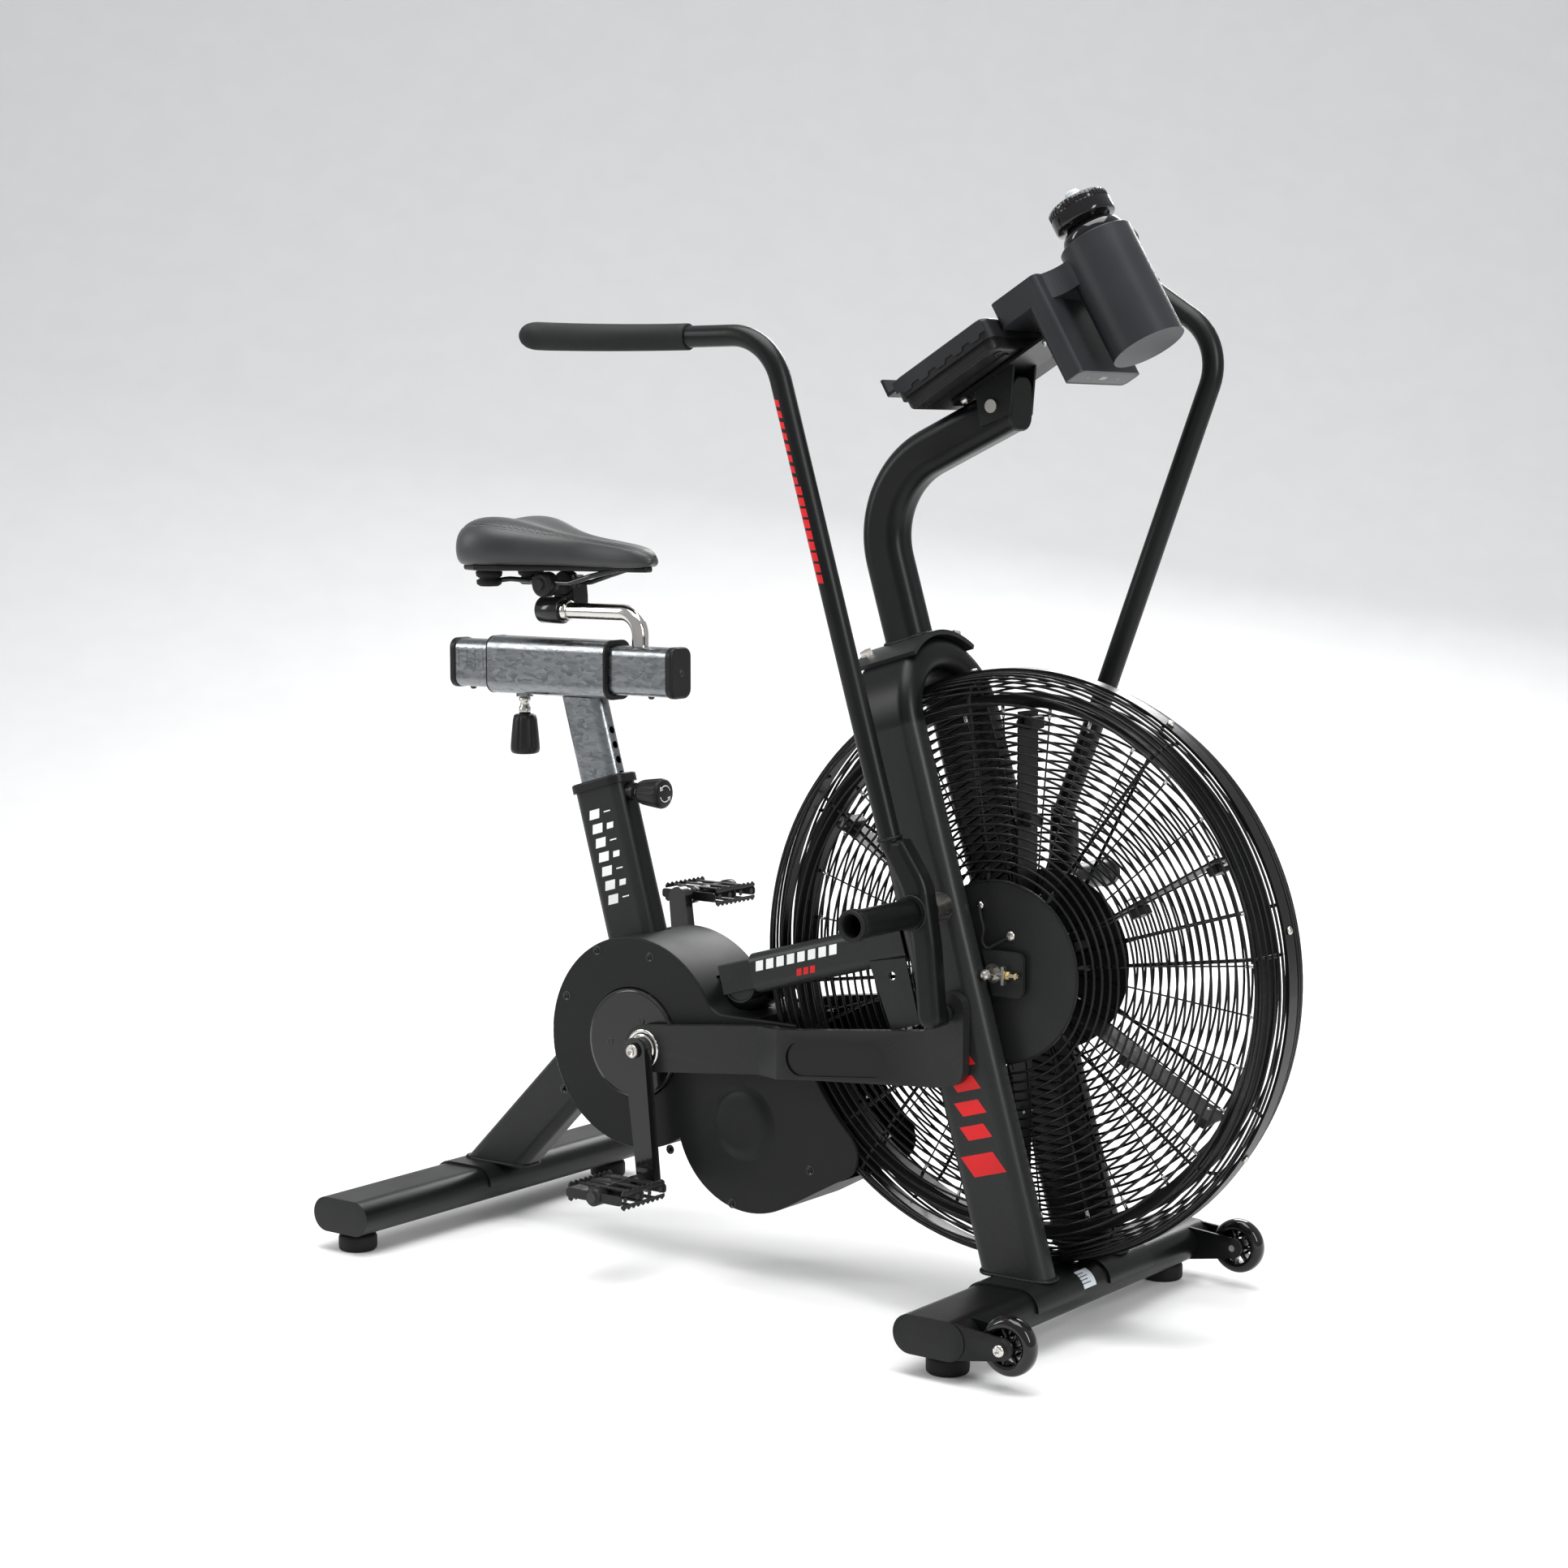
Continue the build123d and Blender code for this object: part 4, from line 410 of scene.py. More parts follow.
def slab(bm_, origin, right, upward, outline, thickness):
    """Adds a plate from an outline of (right, up) millimetres, thick along right x up."""
    out = right.cross(upward)
    low = [bm_.verts.new(origin + right * (a / 1000) + upward * (b / 1000)) for a, b in outline]
    high = [bm_.verts.new(v.co + out * thickness / 1000) for v in low]
    skin(bm_, [low, high])


def rounded(width, height, radius, steps=5):
    """Outline of a rounded rectangle about (0, 0), in millimetres."""
    points = []
    for cx, cy, start in ((1, 1, 0), (-1, 1, 90), (-1, -1, 180), (1, -1, 270)):
        for i in range(steps + 1):
            a = radians(start + 90 * i / steps)
            points.append((cx * (width / 2 - radius) + radius * cos(a),
                           cy * (height / 2 - radius) + radius * sin(a)))
    return points


def arc_points(points, radius, steps=8):
    """Polyline with its inner corners rounded."""
    result = [points[0]]
    for a, b, c in zip(points, points[1:], points[2:]):
        to_a, to_c = (a - b).normalized(), (c - b).normalized()
        half = to_a.angle(to_c) / 2
        reach = min(radius / max(1e-6, sin(half) / cos(half)), (a - b).length * 0.49, (c - b).length * 0.49)
        start, end = b + to_a * reach, b + to_c * reach
        for i in range(steps + 1):
            t = i / steps
            result.append(start.lerp(b, t).lerp(b.lerp(end, t), t))
    result.append(points[-1])
    return result


def fluted_knob(bm_, origin, axis, profile, lobes=6, depth=0.10, segments=96):
    """Adds a turned knob with shallow flutes; profile rows are (radius, along, flute), in millimetres."""
    u = axis.orthogonal().normalized()
    v = axis.cross(u)
    loops = []
    for r, h, flute in profile:
        ring = []
        for k in range(segments):
            a = 2 * pi * k / segments
            dip = 1 - depth * flute * max(0.0, cos(lobes * a)) ** 6
            ring.append(bm_.verts.new(origin + (axis * h + (u * cos(a) + v * sin(a)) * r * dip) / 1000))
        loops.append(ring)
    skin(bm_, loops)


def bead(bm_, points, radius=0.0024, pitch=0.0034):
    """Adds a weld bead round a closed path: a tube whose radius swells and pinches."""
    dense = []
    for a, b in zip(points, points[1:] + points[:1]):
        parts = max(1, ceil((b - a).length / (pitch / 2)))
        dense += [a.lerp(b, i / parts) for i in range(parts)]
    radii = [radius * (1.0 + 0.18 * (1 if i % 2 else -1) + 0.08 * sin(i * 1.7)) for i in range(len(dense))]
    sweep_tube(bm_, dense, radii, 7, closed=True)

# ---- fan cage, in the full wire pitch
WIRE, RIB = 0.00165, 0.0023
RIM_ROWS = ((331, 58.6), (337.5, 54), (342.6, 47.5), (346.4, 39.8), (349.2, 31.2), (351.1, 22.4), (352, 14.5))
RIB_PROFILE = ((106, 56.2), (318, 56.2), (330, 53.4), (339, 46.4), (345, 36.8), (348.4, 26), (349.6, 9.5))
BELT_GAP_START, BELT_GAP_TURN = -198.66, 334    # the rings that the belt runs through are open there

for hand, y_sign in SIDES:
    with piece(f"{hand}_cage_wires", wire_coat, "frame", "cage_black", replaces=f"{hand}_cage") as cage:
        for k in range(19):
            torus(cage, FAN + LEFT * y_sign * 0.0597, 0.121 + k * 0.0109, WIRE, 120)
        for r, y in RIM_ROWS:
            near_belt = y_sign < 0 and 30 < y < 58
            start, turn = (BELT_GAP_START, BELT_GAP_TURN) if near_belt else (0, 360)
            torus(cage, FAN + LEFT * y_sign * y / 1000, r / 1000, WIRE, 144, 6, start, turn, spin=FORWARD)
        for k in range(8):
            out = spoke(8 + 45 * k + (0 if y_sign < 0 else 9))
            sweep_tube(cage, [FAN + (out * r + LEFT * y_sign * y) / 1000 for r, y in RIB_PROFILE], RIB, 6)
            inner_end = FAN + LEFT * y_sign * 0.0565
            sweep_tube(cage, [inner_end + out * 0.104, inner_end + out * 0.125], 0.003, 6)

# clips that hold the cage to the uprights, with their screws
with (piece("cage_clips", powder, "frame", "bracket_black", smooth=False, soften=(0.0008,)) as clips,
      piece("cage_clip_screws", steel, "frame", "fastener_steel") as screws):
    for dx, z in ((464, 558), (537, 305)):
        lathe_pair(screws, dx, 63.8, z, [(5.2, 0), (5.2, 1.2), (3.6, 3), (1.8, 3.4), (1.8, 1.6), (0, 1.6)], 20)
        for y_sign in (-1, 1):
            slab(clips, at(dx, y_sign * 61.6, z), FORWARD * -y_sign, UP, rounded(24, 34, 4), 2.2)

# band joint: small bolts along the clamping band
with piece("band_bolts", steel, "frame", "fastener_steel") as band_bolts:
    for k in range(8):
        out = spoke(12 + 45 * k)
        lathe(band_bolts, FAN + out * 0.3568, out, [(4.8, 0), (4.8, 1.6), (3.4, 3.4), (0, 3.6)], 20)

# ---- fan rotor
HUB_SPOKES = 16
with (piece("rotor_spoke_wires", wire_coat, "rotor", "rotor_black") as spokes,
      piece("rotor_nipples", chrome, "rotor", "chrome") as nipples):
    for k in range(HUB_SPOKES):
        for y_sign in (-1, 1):
            out = spoke((k + 0.25 + 0.5 * (y_sign > 0)) * 360 / HUB_SPOKES)
            low = FAN + out * 0.036 + LEFT * y_sign * 0.0155
            high = FAN + out * 0.3125 + LEFT * y_sign * 0.004
            sweep_tube(spokes, [low, high], 0.00105, 6)
            lathe(nipples, low.lerp(high, 0.945), high - low, [(1.9, 0), (2.2, 4), (2.2, 16), (1.6, 16.5)], 8)

HALF_RIM = [(312, 9), (315, 13), (321, 20), (326, 23.5), (326, 21), (322, 17), (319, 9)]
RIM_SECTION = HALF_RIM + [(r, -y) for r, y in HALF_RIM[::-1]]
RIM_STEPS = 128
with piece("rotor_rim_hoop", rotor_coat, "rotor", "rotor_black", smooth=False, replaces="rotor_wheel") as rim:
    turns = [spoke(360 * i / RIM_STEPS) for i in range(RIM_STEPS)]
    skin(rim, [[rim.verts.new(FAN + (out * r + LEFT * y) / 1000) for r, y in RIM_SECTION] for out in turns],
         closed=True)
HALF_HUB = [(5.5, 34), (16, 34), (18, 32), (18, 26), (40, 24), (40, 20.5), (27, 18.5), (24, 12)]
with piece("rotor_hub_turned", rotor_coat, "rotor", "rotor_black", smooth=False) as hub:
    lathe(hub, FAN, LEFT, [(r, -h) for r, h in HALF_HUB] + HALF_HUB[::-1], 64)

# paddles: folded blades with ribbed edges, on three clips each
BLADE_LOW, BLADE_HIGH, BLADE_RIBS = 62, 306, 22
with (piece("rotor_blades", rotor_coat, "rotor", "rotor_black", False, replaces="rotor_paddles") as blades,
      piece("rotor_blade_clips", dark_plastic, "rotor", "rotor_black", False, (0.0012,)) as clips,
      piece("rotor_blade_screws", steel, "rotor", "fastener_steel") as screws):
    for k in range(6):
        out, turn = spoke(k * 60 + 90), spoke(k * 60 + 180)
        for y_sign in (-1, 1):
            outline = [(0, BLADE_LOW), (0, BLADE_HIGH)]
            for n in range(BLADE_RIBS * 2, -1, -1):
                r = BLADE_LOW + (BLADE_HIGH - BLADE_LOW) * n / (BLADE_RIBS * 2)
                outline.append((y_sign * (20.5 if n % 2 else 22.5), r))
            slab(blades, FAN - turn * 0.0012, LEFT, out, outline, 2.4)
        for r in (78, 176, 292):
            centre = FAN + out * r / 1000
            slab(clips, centre - turn * 0.0055, LEFT, out, rounded(30, 15, 3), 11)
            for y in (-0.009, 0.009):
                for face in (turn, -turn):
                    spot = centre + face * 0.0056 + LEFT * y
                    lathe(screws, spot, face, [(3, 0), (3, 1.2), (1.8, 2.2), (0, 2.3)], 12)

# ---- saddle
STATIONS = (  # dx, half width, crown height, edge height, lowest height, valley depth
    (-303, 44, 925, 915, 893, 2.0),
    (-298, 68, 942, 928, 890, 4.0),
    (-280, 90, 953, 934, 889, 6.0),
    (-252, 96, 957, 936, 889, 7.5),
    (-222, 88, 954, 933, 890, 7.5),
    (-190, 66, 945, 928, 891, 7.0),
    (-158, 45, 936, 922, 891, 5.5),
    (-120, 31, 929, 916, 890, 3.0),
    (-80, 26, 924, 912, 889, 1.0),
    (-45, 23, 919, 909, 889, 0.0),
    (-24, 18, 914, 905, 890, 0.0),
    (-14, 10, 907, 900, 893, 0.0),
)
PANEL_REAR, PANEL_WAIST, PANEL_NOSE = (at(dx, 0, 0).x for dx in (-292, -158, -48))
saddle_bm = bmesh.new()
sections = []
for dx, w, crown_z, edge_z, low_z, valley in STATIONS:
    half = [(0.0, crown_z - valley), (0.26 * w, crown_z - valley * 0.45), (0.55 * w, crown_z),
            (0.80 * w, (crown_z + edge_z) / 2 + 1.5), (0.97 * w, edge_z - 2), (w, (edge_z + low_z) / 2 - 2),
            (0.93 * w, low_z + 5), (0.80 * w, low_z), (0.4 * w, low_z + 1), (0.0, low_z + 1)]
    full = half + [(-y, z) for y, z in reversed(half[1:-1])]
    sections.append([saddle_bm.verts.new(at(dx, y, z)) for y, z in full])
skin(saddle_bm, sections, ends=False)
for section, bulge in ((sections[0], -0.001), (sections[-1], 0.0016)):
    middle = saddle_bm.verts.new(sum((v.co for v in section), Vector()) / len(section) + FORWARD * bulge)
    for k in range(len(section)):
        saddle_bm.faces.new((section[k - 1], section[k], middle))
bmesh.ops.recalc_face_normals(saddle_bm, faces=saddle_bm.faces)
saddle_mesh = bpy.data.meshes.new("saddle_cushion")
saddle_bm.to_mesh(saddle_mesh)
saddle_bm.free()
saddle_obj = bpy.data.objects.new("saddle_cushion", saddle_mesh)
bpy.context.collection.objects.link(saddle_obj)
subdivide = saddle_obj.modifiers.new("smooth", "SUBSURF")
subdivide.levels = subdivide.render_levels = 3
baked = bpy.data.meshes.new_from_object(saddle_obj.evaluated_get(bpy.context.evaluated_depsgraph_get()))
saddle_obj.modifiers.clear()
saddle_obj.data = baked


def seam_half(x):
    """Half width of the perforated panel at a place along the saddle, pinched in over the nose."""
    dx = (x - CRANK_X) * 1000
    for (d0, w0, *_), (d1, w1, *_) in zip(STATIONS, STATIONS[1:]):
        if d0 <= dx <= d1:
            return (w0 + (w1 - w0) * (dx - d0) / (d1 - d0)) / 1000 * (0.80 if x < PANEL_WAIST else 0.70)
    return 0.0


# the stitched seam is a shallow groove pressed into the skin
SEAM_DEPTH, SEAM_REACH = 0.0011, 0.0035
skin_bm = bmesh.new()
skin_bm.from_mesh(baked)
skin_bm.normal_update()
for v in skin_bm.verts:
    if v.normal.z > 0.15:
        gap = abs(abs(v.co.y) - seam_half(v.co.x))
        v.co -= v.normal * SEAM_DEPTH * max(0.0, 1 - gap / SEAM_REACH)
skin_bm.to_mesh(baked)
tree = BVHTree.FromBMesh(skin_bm)
skin_bm.free()
baked.materials.clear()
baked.materials.append(vinyl)
baked.materials.append(vinyl_holes)
for poly in baked.polygons:
    c = poly.center
    poly.use_smooth = True
    if poly.normal.z > 0.3 and abs(c.y) < seam_half(c.x) and PANEL_REAR < c.x < PANEL_NOSE:
        poly.material_index = 1
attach(saddle_obj, "slider")
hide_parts("saddle")

STITCH, STITCH_PITCH = 0.0021, 0.0034
with piece("saddle_stitching", thread, "slider", "saddle_vinyl") as stitches:
    for offset in (-0.0022, 0.0022):
        for sign in (-1, 1):
            x = at(-290, 0, 0).x
            while x < at(-40, 0, 0).x:
                tips = []
                for tip_x in (x, x + STITCH):
                    above = Vector((tip_x, sign * (seam_half(tip_x) + offset), 1.2))
                    place, normal, *_ = tree.ray_cast(above, -UP)
                    if place is not None:
                        tips.append(place + normal * 0.00025)
                if len(tips) == 2:
                    middle = tips[0].lerp(tips[1], 0.5) + UP * 0.00015
                    sweep_tube(stitches, [tips[0], middle, tips[1]], 0.0003, 5)
                x += STITCH_PITCH

# underside: plastic pan, elastomer blocks and steel rails
PAN_EDGE = [(-140, 30), (-128, 66), (-96, 82), (-62, 74), (-28, 48), (10, 28), (60, 17), (120, 13), (136, 7)]
with piece("saddle_pan", dark_plastic, "slider", "saddle_vinyl", smooth=False, soften=(0.003, 3)) as pan:
    slab(pan, at(-158, 0, 884), FORWARD, LEFT, [(x, -y) for x, y in PAN_EDGE] + PAN_EDGE[::-1], 8)
with piece("saddle_buffers", rubber, "slider", "rubber") as buffers:
    for y in (-42, 42):
        lathe(buffers, at(-262, y, 862), UP,
              [(0, 0), (12, 0), (16.5, 3), (17, 8), (12.5, 10.5), (17, 13.5), (18, 19), (14.5, 22.5), (18, 24),
               (19, 30), (0, 30)], 40)
RAIL_ROUTE = ((-262, 40, 868), (-240, 26, 872), (-205, 22, 870), (-140, 22, 868), (-105, 20, 878),
              (-60, 9, 889))
with piece("saddle_rails", enamel, "slider", "bracket_black") as rails:
    for y_sign in (-1, 1):
        sweep_tube(rails, arc_points([at(dx, y_sign * y, z) for dx, y, z in RAIL_ROUTE], 0.02), 0.0035, 10)

with piece("saddle_clamp_body", dark_plastic, "slider", "bracket_black", smooth=False, soften=(0.0015,),
           replaces="saddle_clamp") as clamp:
    lathe_pair(clamp, -181, 0, 866,
               [(0, 12), (15.5, 12), (16.5, 14), (16.5, 20), (14.5, 21.5), (14.5, 23.5), (16.5, 25), (16.5, 30),
                (13, 33), (7.5, 33.5), (7.5, 36.5), (0, 36.5)])
    for y_sign in (-1, 1):
        for tooth in circle(at(-181, y_sign * 22.5, 866), FORWARD, UP, 0.0158, 24):
            sweep_tube(clamp, [tooth - LEFT * 0.0012, tooth + LEFT * 0.0012], 0.0011, 5)
    slab(clamp, at(-181, 15, 845), FORWARD, UP,
         [(-17, -12), (17, -12), (17, 4), (15, 24), (9, 32), (-9, 32), (-15, 24), (-17, 4)], -30)
with piece("clamp_barrel", enamel, "slider", "bracket_black") as barrel:
    lathe(barrel, at(-205, 0, 831), FORWARD,
          [(11.4, 0.0), (17, 0.0), (17.8, 1.5), (17.8, 36), (17, 37.5), (11.4, 37.5)])
with piece("post_ferrule", chrome, "slider", "chrome") as ferrule:
    lathe(ferrule, at(-167.5, 0, 831), FORWARD,
          [(11.1, 0), (13.5, 0), (14.2, 1), (14.2, 8.5), (12.8, 11), (11.1, 11.2)])

# ---- grips
GRIP_START, GRIP_BEND = at(192, -188, 1175), 0.132
GRIP_ROWS = [(0, 13.1), (0.01, 15.2), (0.5, 16), (6, 16), (14, 16)]     # degrees round the bend, radius in mm
GRIP_ROWS += [(24 + 10 * n, 16.1 + 0.1 * n) for n in range(5)]
GRIP_ROWS += [(72, 16.6), (80, 16.7), (86, 16.6), (89, 16), (91.5, 14.8), (93.6, 12.8), (95.3, 10), (96.4, 6.6),
              (96.9, 3)]
for hand, place in ARMS:
    with piece(f"{hand}_foam_grip", foam, f"{hand}_arm", "grip_foam",
               replaces=f"{hand}_grip", fill=1.0) as grip:
        bend = [Vector((-sin(radians(a)), cos(radians(a)) - 1, 0)) * GRIP_BEND for a, r in GRIP_ROWS]
        sweep_tube(grip, [place(GRIP_START + step) for step in bend], [r / 1000 for a, r in GRIP_ROWS], 48)

# ---- slider: plugs, bushings and scale
CAP_Z = 756
PLUG = rounded(43, 67, 13, 8)
with piece("slider_plugs", dark_plastic, "slider", "cap_black", smooth=False, soften=(0.0035, 4, 50),
           replaces="slider_caps") as plugs:
    for dx in (18, -355):
        slab(plugs, at(dx, 0, CAP_Z), LEFT, UP, PLUG, 12)
with piece("plug_screws", enamel, "slider", "cap_black") as screws:
    for dx, facing in ((30, FORWARD), (-355, -FORWARD)):
        lathe(screws, at(dx, 0, CAP_Z), facing, [(4.5, -1), (4.5, 0.3), (3.2, 0.6), (2.2, 0.2), (0, 0.2)], 20)


def frame_ring(bm_, dx, outer, inner, depth):
    """Adds a rounded-rectangle ring facing forwards at dx; sizes are (width, height, radius)."""
    loops = []
    for shift, size in ((0, inner), (0, outer), (depth, outer), (depth, inner)):
        loops.append([bm_.verts.new(at(dx + shift, y, CAP_Z + z)) for y, z in rounded(*size, 8)])
    skin(bm_, loops, closed=True)


BORE = (41.2, 65.2, 12.2)
with piece("sleeve_bushings", dark_plastic, "seat", "cap_black", smooth=False, soften=(0.0009, 3)) as bushings:
    frame_ring(bushings, -80, (54.5, 78.5, 17), BORE, 4)
    frame_ring(bushings, -284, (53, 77, 16), BORE, 2.2)

INK = 0.04              # printed scale, thinner than the running clearance
with piece("slider_scale", grey_ink, "slider", "zinc", smooth=False) as ticks:
    for n in range(5):
        for y_sign in (-1, 1):
            dx = -338 + n * 14.5
            slab(ticks, at(dx, y_sign * 20, 762), FORWARD * -y_sign, UP, rounded(1.1, 24, 0.4, 2), INK)
            slab(ticks, at(dx - 2, y_sign * 20, 777), FORWARD * -y_sign, UP, rounded(4.2, 1.0, 0.4, 2), INK)
seat_dir, seat_fwd = spoke(90 + 15.9), spoke(15.9)
SCALE_LOW = at(-95, 0, 586)
with piece("post_scale", grey_ink, "seat", "zinc", smooth=False) as ticks:
    for n in range(5):
        for y_sign in (-1, 1):
            spot = SCALE_LOW + seat_dir * (0.036 + 0.0225 * n) + LEFT * y_sign * 0.0150
            right = seat_fwd * -y_sign
            slab(ticks, spot, right, seat_dir, rounded(7, 0.9, 0.3, 2), INK)
            slab(ticks, spot + right * 0.002 + seat_dir * 0.003, right, seat_dir, rounded(0.9, 5, 0.3, 2), INK)
with piece("slider_stop_screws", enamel, "slider", "cap_black") as screws:
    for dx in (-330, -20):
        lathe(screws, at(dx, 0, 724.2), -UP, [(4.5, -1), (4.5, 2), (3, 4.2), (0, 4.5)], 20)

# ---- knobs
KNOB_ROWS = [(12.5, 0.0, 0), (15, 1.2, 0.3), (16.5, 6, 0.9), (18.2, 18, 1), (19.6, 30, 1), (19.9, 34.5, 0.6),
             (19.2, 37.5, 0.1), (17.2, 39.2, 0), (13.5, 40, 0)]
LONGER = 1.33
with piece("height_knob_grip", dark_plastic, "height_knob", "cap_black", replaces="height_knob") as knob:
    fluted_knob(knob, at(-38, 0, 598), FORWARD, KNOB_ROWS)
with piece("slider_knob_grip", dark_plastic, "slider_knob", "cap_black", replaces="slider_knob") as knob:
    fluted_knob(knob, at(-238, 0, 690), -UP, [(r, h * LONGER, flute) for r, h, flute in KNOB_ROWS])
with piece("height_knob_stem", steel, "height_knob", "fastener_steel") as stem:
    lathe(stem, at(-61.8, 0, 598), FORWARD,
          [(0, 0), (6, 0), (6, 15.5), (7.5, 16.5), (7.5, 20.5), (6.5, 21), (6.5, 26), (0, 26)], 32)
with piece("slider_knob_stem", steel, "slider_knob", "fastener_steel") as stem:
    lathe(stem, at(-238, 0, 723.6), -UP,
          [(0, 0), (6, 0), (6, 10.5), (7.8, 11), (7.8, 16), (6.2, 17), (6.2, 22.5), (7.8, 23.5), (7.8, 34.5),
           (0, 34.5)], 32)
with piece("height_knob_arrows", white_ink, "height_knob", "cap_black") as arrows:
    for start in (20, 200):
        rays = [LEFT * cos(a) + UP * sin(a) for a in (radians(start + 11 * t) for t in range(12))]
        curve = [at(2.15, 0, 598) + ray * 0.0105 for ray in rays]
        sweep_tube(arrows, curve, 0.0006, 4)
        onwards, end = FORWARD.cross(rays[-1]), curve[-1]
        for barb in (-rays[-1], rays[-1]):
            sweep_tube(arrows, [end + barb * 0.003 - onwards * 0.0015, end + onwards * 0.0028], 0.0006, 4)

# ---- welds
LEAN = 16.25
LEG_UP, LEG_AHEAD = spoke(90 + LEAN), spoke(LEAN)
CROWN_R = 108.2
MAST_END = at(538.2, 0, 999 + (538 - 327.4) * (1105 - 999) / (560 - 327.4))


def leg_dx(z):
    return 602.7 - sin(radians(LEAN)) / cos(radians(LEAN)) * (z - 61)


with piece("frame_welds", powder, "frame", "frame_black") as welds:
    for y in (-82, 82):
        foot = rounded(91, 41, 18, 8)
        bead(welds, [at(leg_dx(75.6) + a / cos(radians(LEAN)), y + b, 75.4) for a, b in foot])
    bead(welds, [at(-285.0 + a * 1.414, b, 75.4) for a, b in rounded(75.5, 46, 14, 8)])
    crown_centre = at(leg_dx(788), 0, 788) - LEG_UP * 0.082
    bead(welds, [crown_centre + (LEG_UP * sqrt(CROWN_R ** 2 - y ** 2) + LEG_AHEAD * ahead + LEFT * y) / 1000
                 for ahead, y in rounded(57, 45, 16, 8)])
    bead(welds, [MAST_END + (LEFT * y + UP * z) / 1000 for y, z in rounded(43.4, 60.6, 15.5, 8)], 0.0017)
    for y in (-61.6, 61.6):
        bead(welds, circle(at(170, y, 374), FORWARD, UP, 0.0226), 0.002)
across_arm = (LEFT - ARM_AXIS * ARM_AXIS.y).normalized()
for hand, place in ARMS:
    with piece(f"{hand}_arm_welds", powder, f"{hand}_arm", "frame_black") as welds:
        mouth = WELD + ARM_AXIS * 0.012
        ring = circle(mouth, across_arm, ARM_AXIS.cross(across_arm), ARM_R + 0.0005)
        bead(welds, [place(p) for p in ring], 0.0019)
        bead(welds, [place(p) for p in circle(at(498, -164.4, 506), FORWARD, UP, 0.0202)], 0.0016)

# mast end cap
with piece("mast_cap", powder, "frame", "frame_black", smooth=False, soften=(0.0015, 3)) as cap:
    slab(cap, MAST_END - FORWARD * 0.0006, LEFT, UP, rounded(44.6, 62, 16, 8), 4.0)

# ---- printed graphics: plain bars only
TAPE = 0.15


def decal(name, shapes, material, slot_name="frame_black"):
    with piece(name, material, "frame", slot_name, smooth=False) as prints:
        for origin, right, upward, outline in shapes:
            slab(prints, origin, right, upward, outline, TAPE)


def slanted(width, height, slant):
    """Slanted bar about (0, 0), as an outline in millimetres."""
    lean = slant * height
    corners = ((-1, -1), (1, -1), (1, 1), (-1, 1))
    return [((side * width + end * lean) / 2, end * height / 2) for side, end in corners]


# right and left uprights: a column of slanted red bars, widest at the bottom
for hand, y_sign in SIDES:
    shapes = []
    for along_leg, width, height in ((262, 34, 17), (233, 34, 17), (204, 34, 17), (175, 34, 17), (136, 46, 26)):
        z = 75 + along_leg * cos(radians(LEAN))
        bar = slanted(width, height, -0.5)
        shapes.append((at(leg_dx(z), y_sign * 102.05, z), LEG_AHEAD * -y_sign, LEG_UP, bar))
    decal(f"upright_bars_{hand}", shapes, red_ink)

# seat tube: white blocks up the side, with thick and thin marks beside them
shapes = []
for y_sign in (-1, 1):
    right = seat_fwd * -y_sign
    for n in range(7):
        spot = SCALE_LOW - seat_dir * (0.018 + 0.019 * n) + LEFT * y_sign * 0.02255
        shapes.append((spot - seat_fwd * 0.009, right, seat_dir, slanted(17, 12, 0.3)))
        shapes.append((spot + seat_fwd * 0.013, right, seat_dir, slanted(11, 1.6 + 6 * (n % 2), 0.3)))
decal("seat_tube_blocks", shapes, white_ink)

# side tubes: a white bar pattern and a short red one
tube_fwd, tube_up = spoke(15.5), spoke(90 + 15.5)
white_shapes, red_shapes = [], []
for y_sign in (-1, 1):
    right, start = tube_fwd * -y_sign, at(170, y_sign * 97.05, 384)
    for shapes, count, size, first, pitch, rise in ((white_shapes, 8, (11.5, 12), 0.062, 0.0165, 0.008),
                                                    (red_shapes, 3, (7.5, 8.5), 0.120, 0.0105, -0.010)):
        for n in range(count):
            spot = start + tube_fwd * (first + pitch * n) + tube_up * rise
            shapes.append((spot, right, tube_up, slanted(*size, 0.28 * -y_sign)))
decal("side_tube_bars", white_shapes, white_ink)
decal("side_tube_red_bars", red_shapes, red_ink)

# arms: red bars wrapped round the tube, broad ones below and narrow ones above
outer_side = -across_arm
front = ARM_AXIS.cross(outer_side)
for hand, place in ARMS:
    with piece(f"{hand}_arm_bars", red_ink, f"{hand}_arm", "frame_black") as wrap:
        for n in range(17):
            low = (KNEE - WELD).length * 0.52 + n * 0.0132
            tall, span = (0.0102, 62) if n < 9 else (0.0085, 40)
            rows = []
            for i in range(9):
                a = radians(24 + span * (i / 8 - 0.5))
                outwards = (outer_side * cos(a) - front * sin(a)) * (ARM_R + 0.00016)
                skew = 0.0035 * (i / 8 - 0.5)
                foot = WELD + ARM_AXIS * (low + skew) + outwards
                rows.append([wrap.verts.new(place(foot + ARM_AXIS * h)) for h in (0, tall)])
            for a, b in zip(rows, rows[1:]):
                wrap.faces.new((a[0], b[0], b[1], a[1]))


def on_floor_tube(degrees_, y, radius):
    """Point on the front floor tube's rounded edge."""
    return at(632, y, 49) + spoke(degrees_) * radius


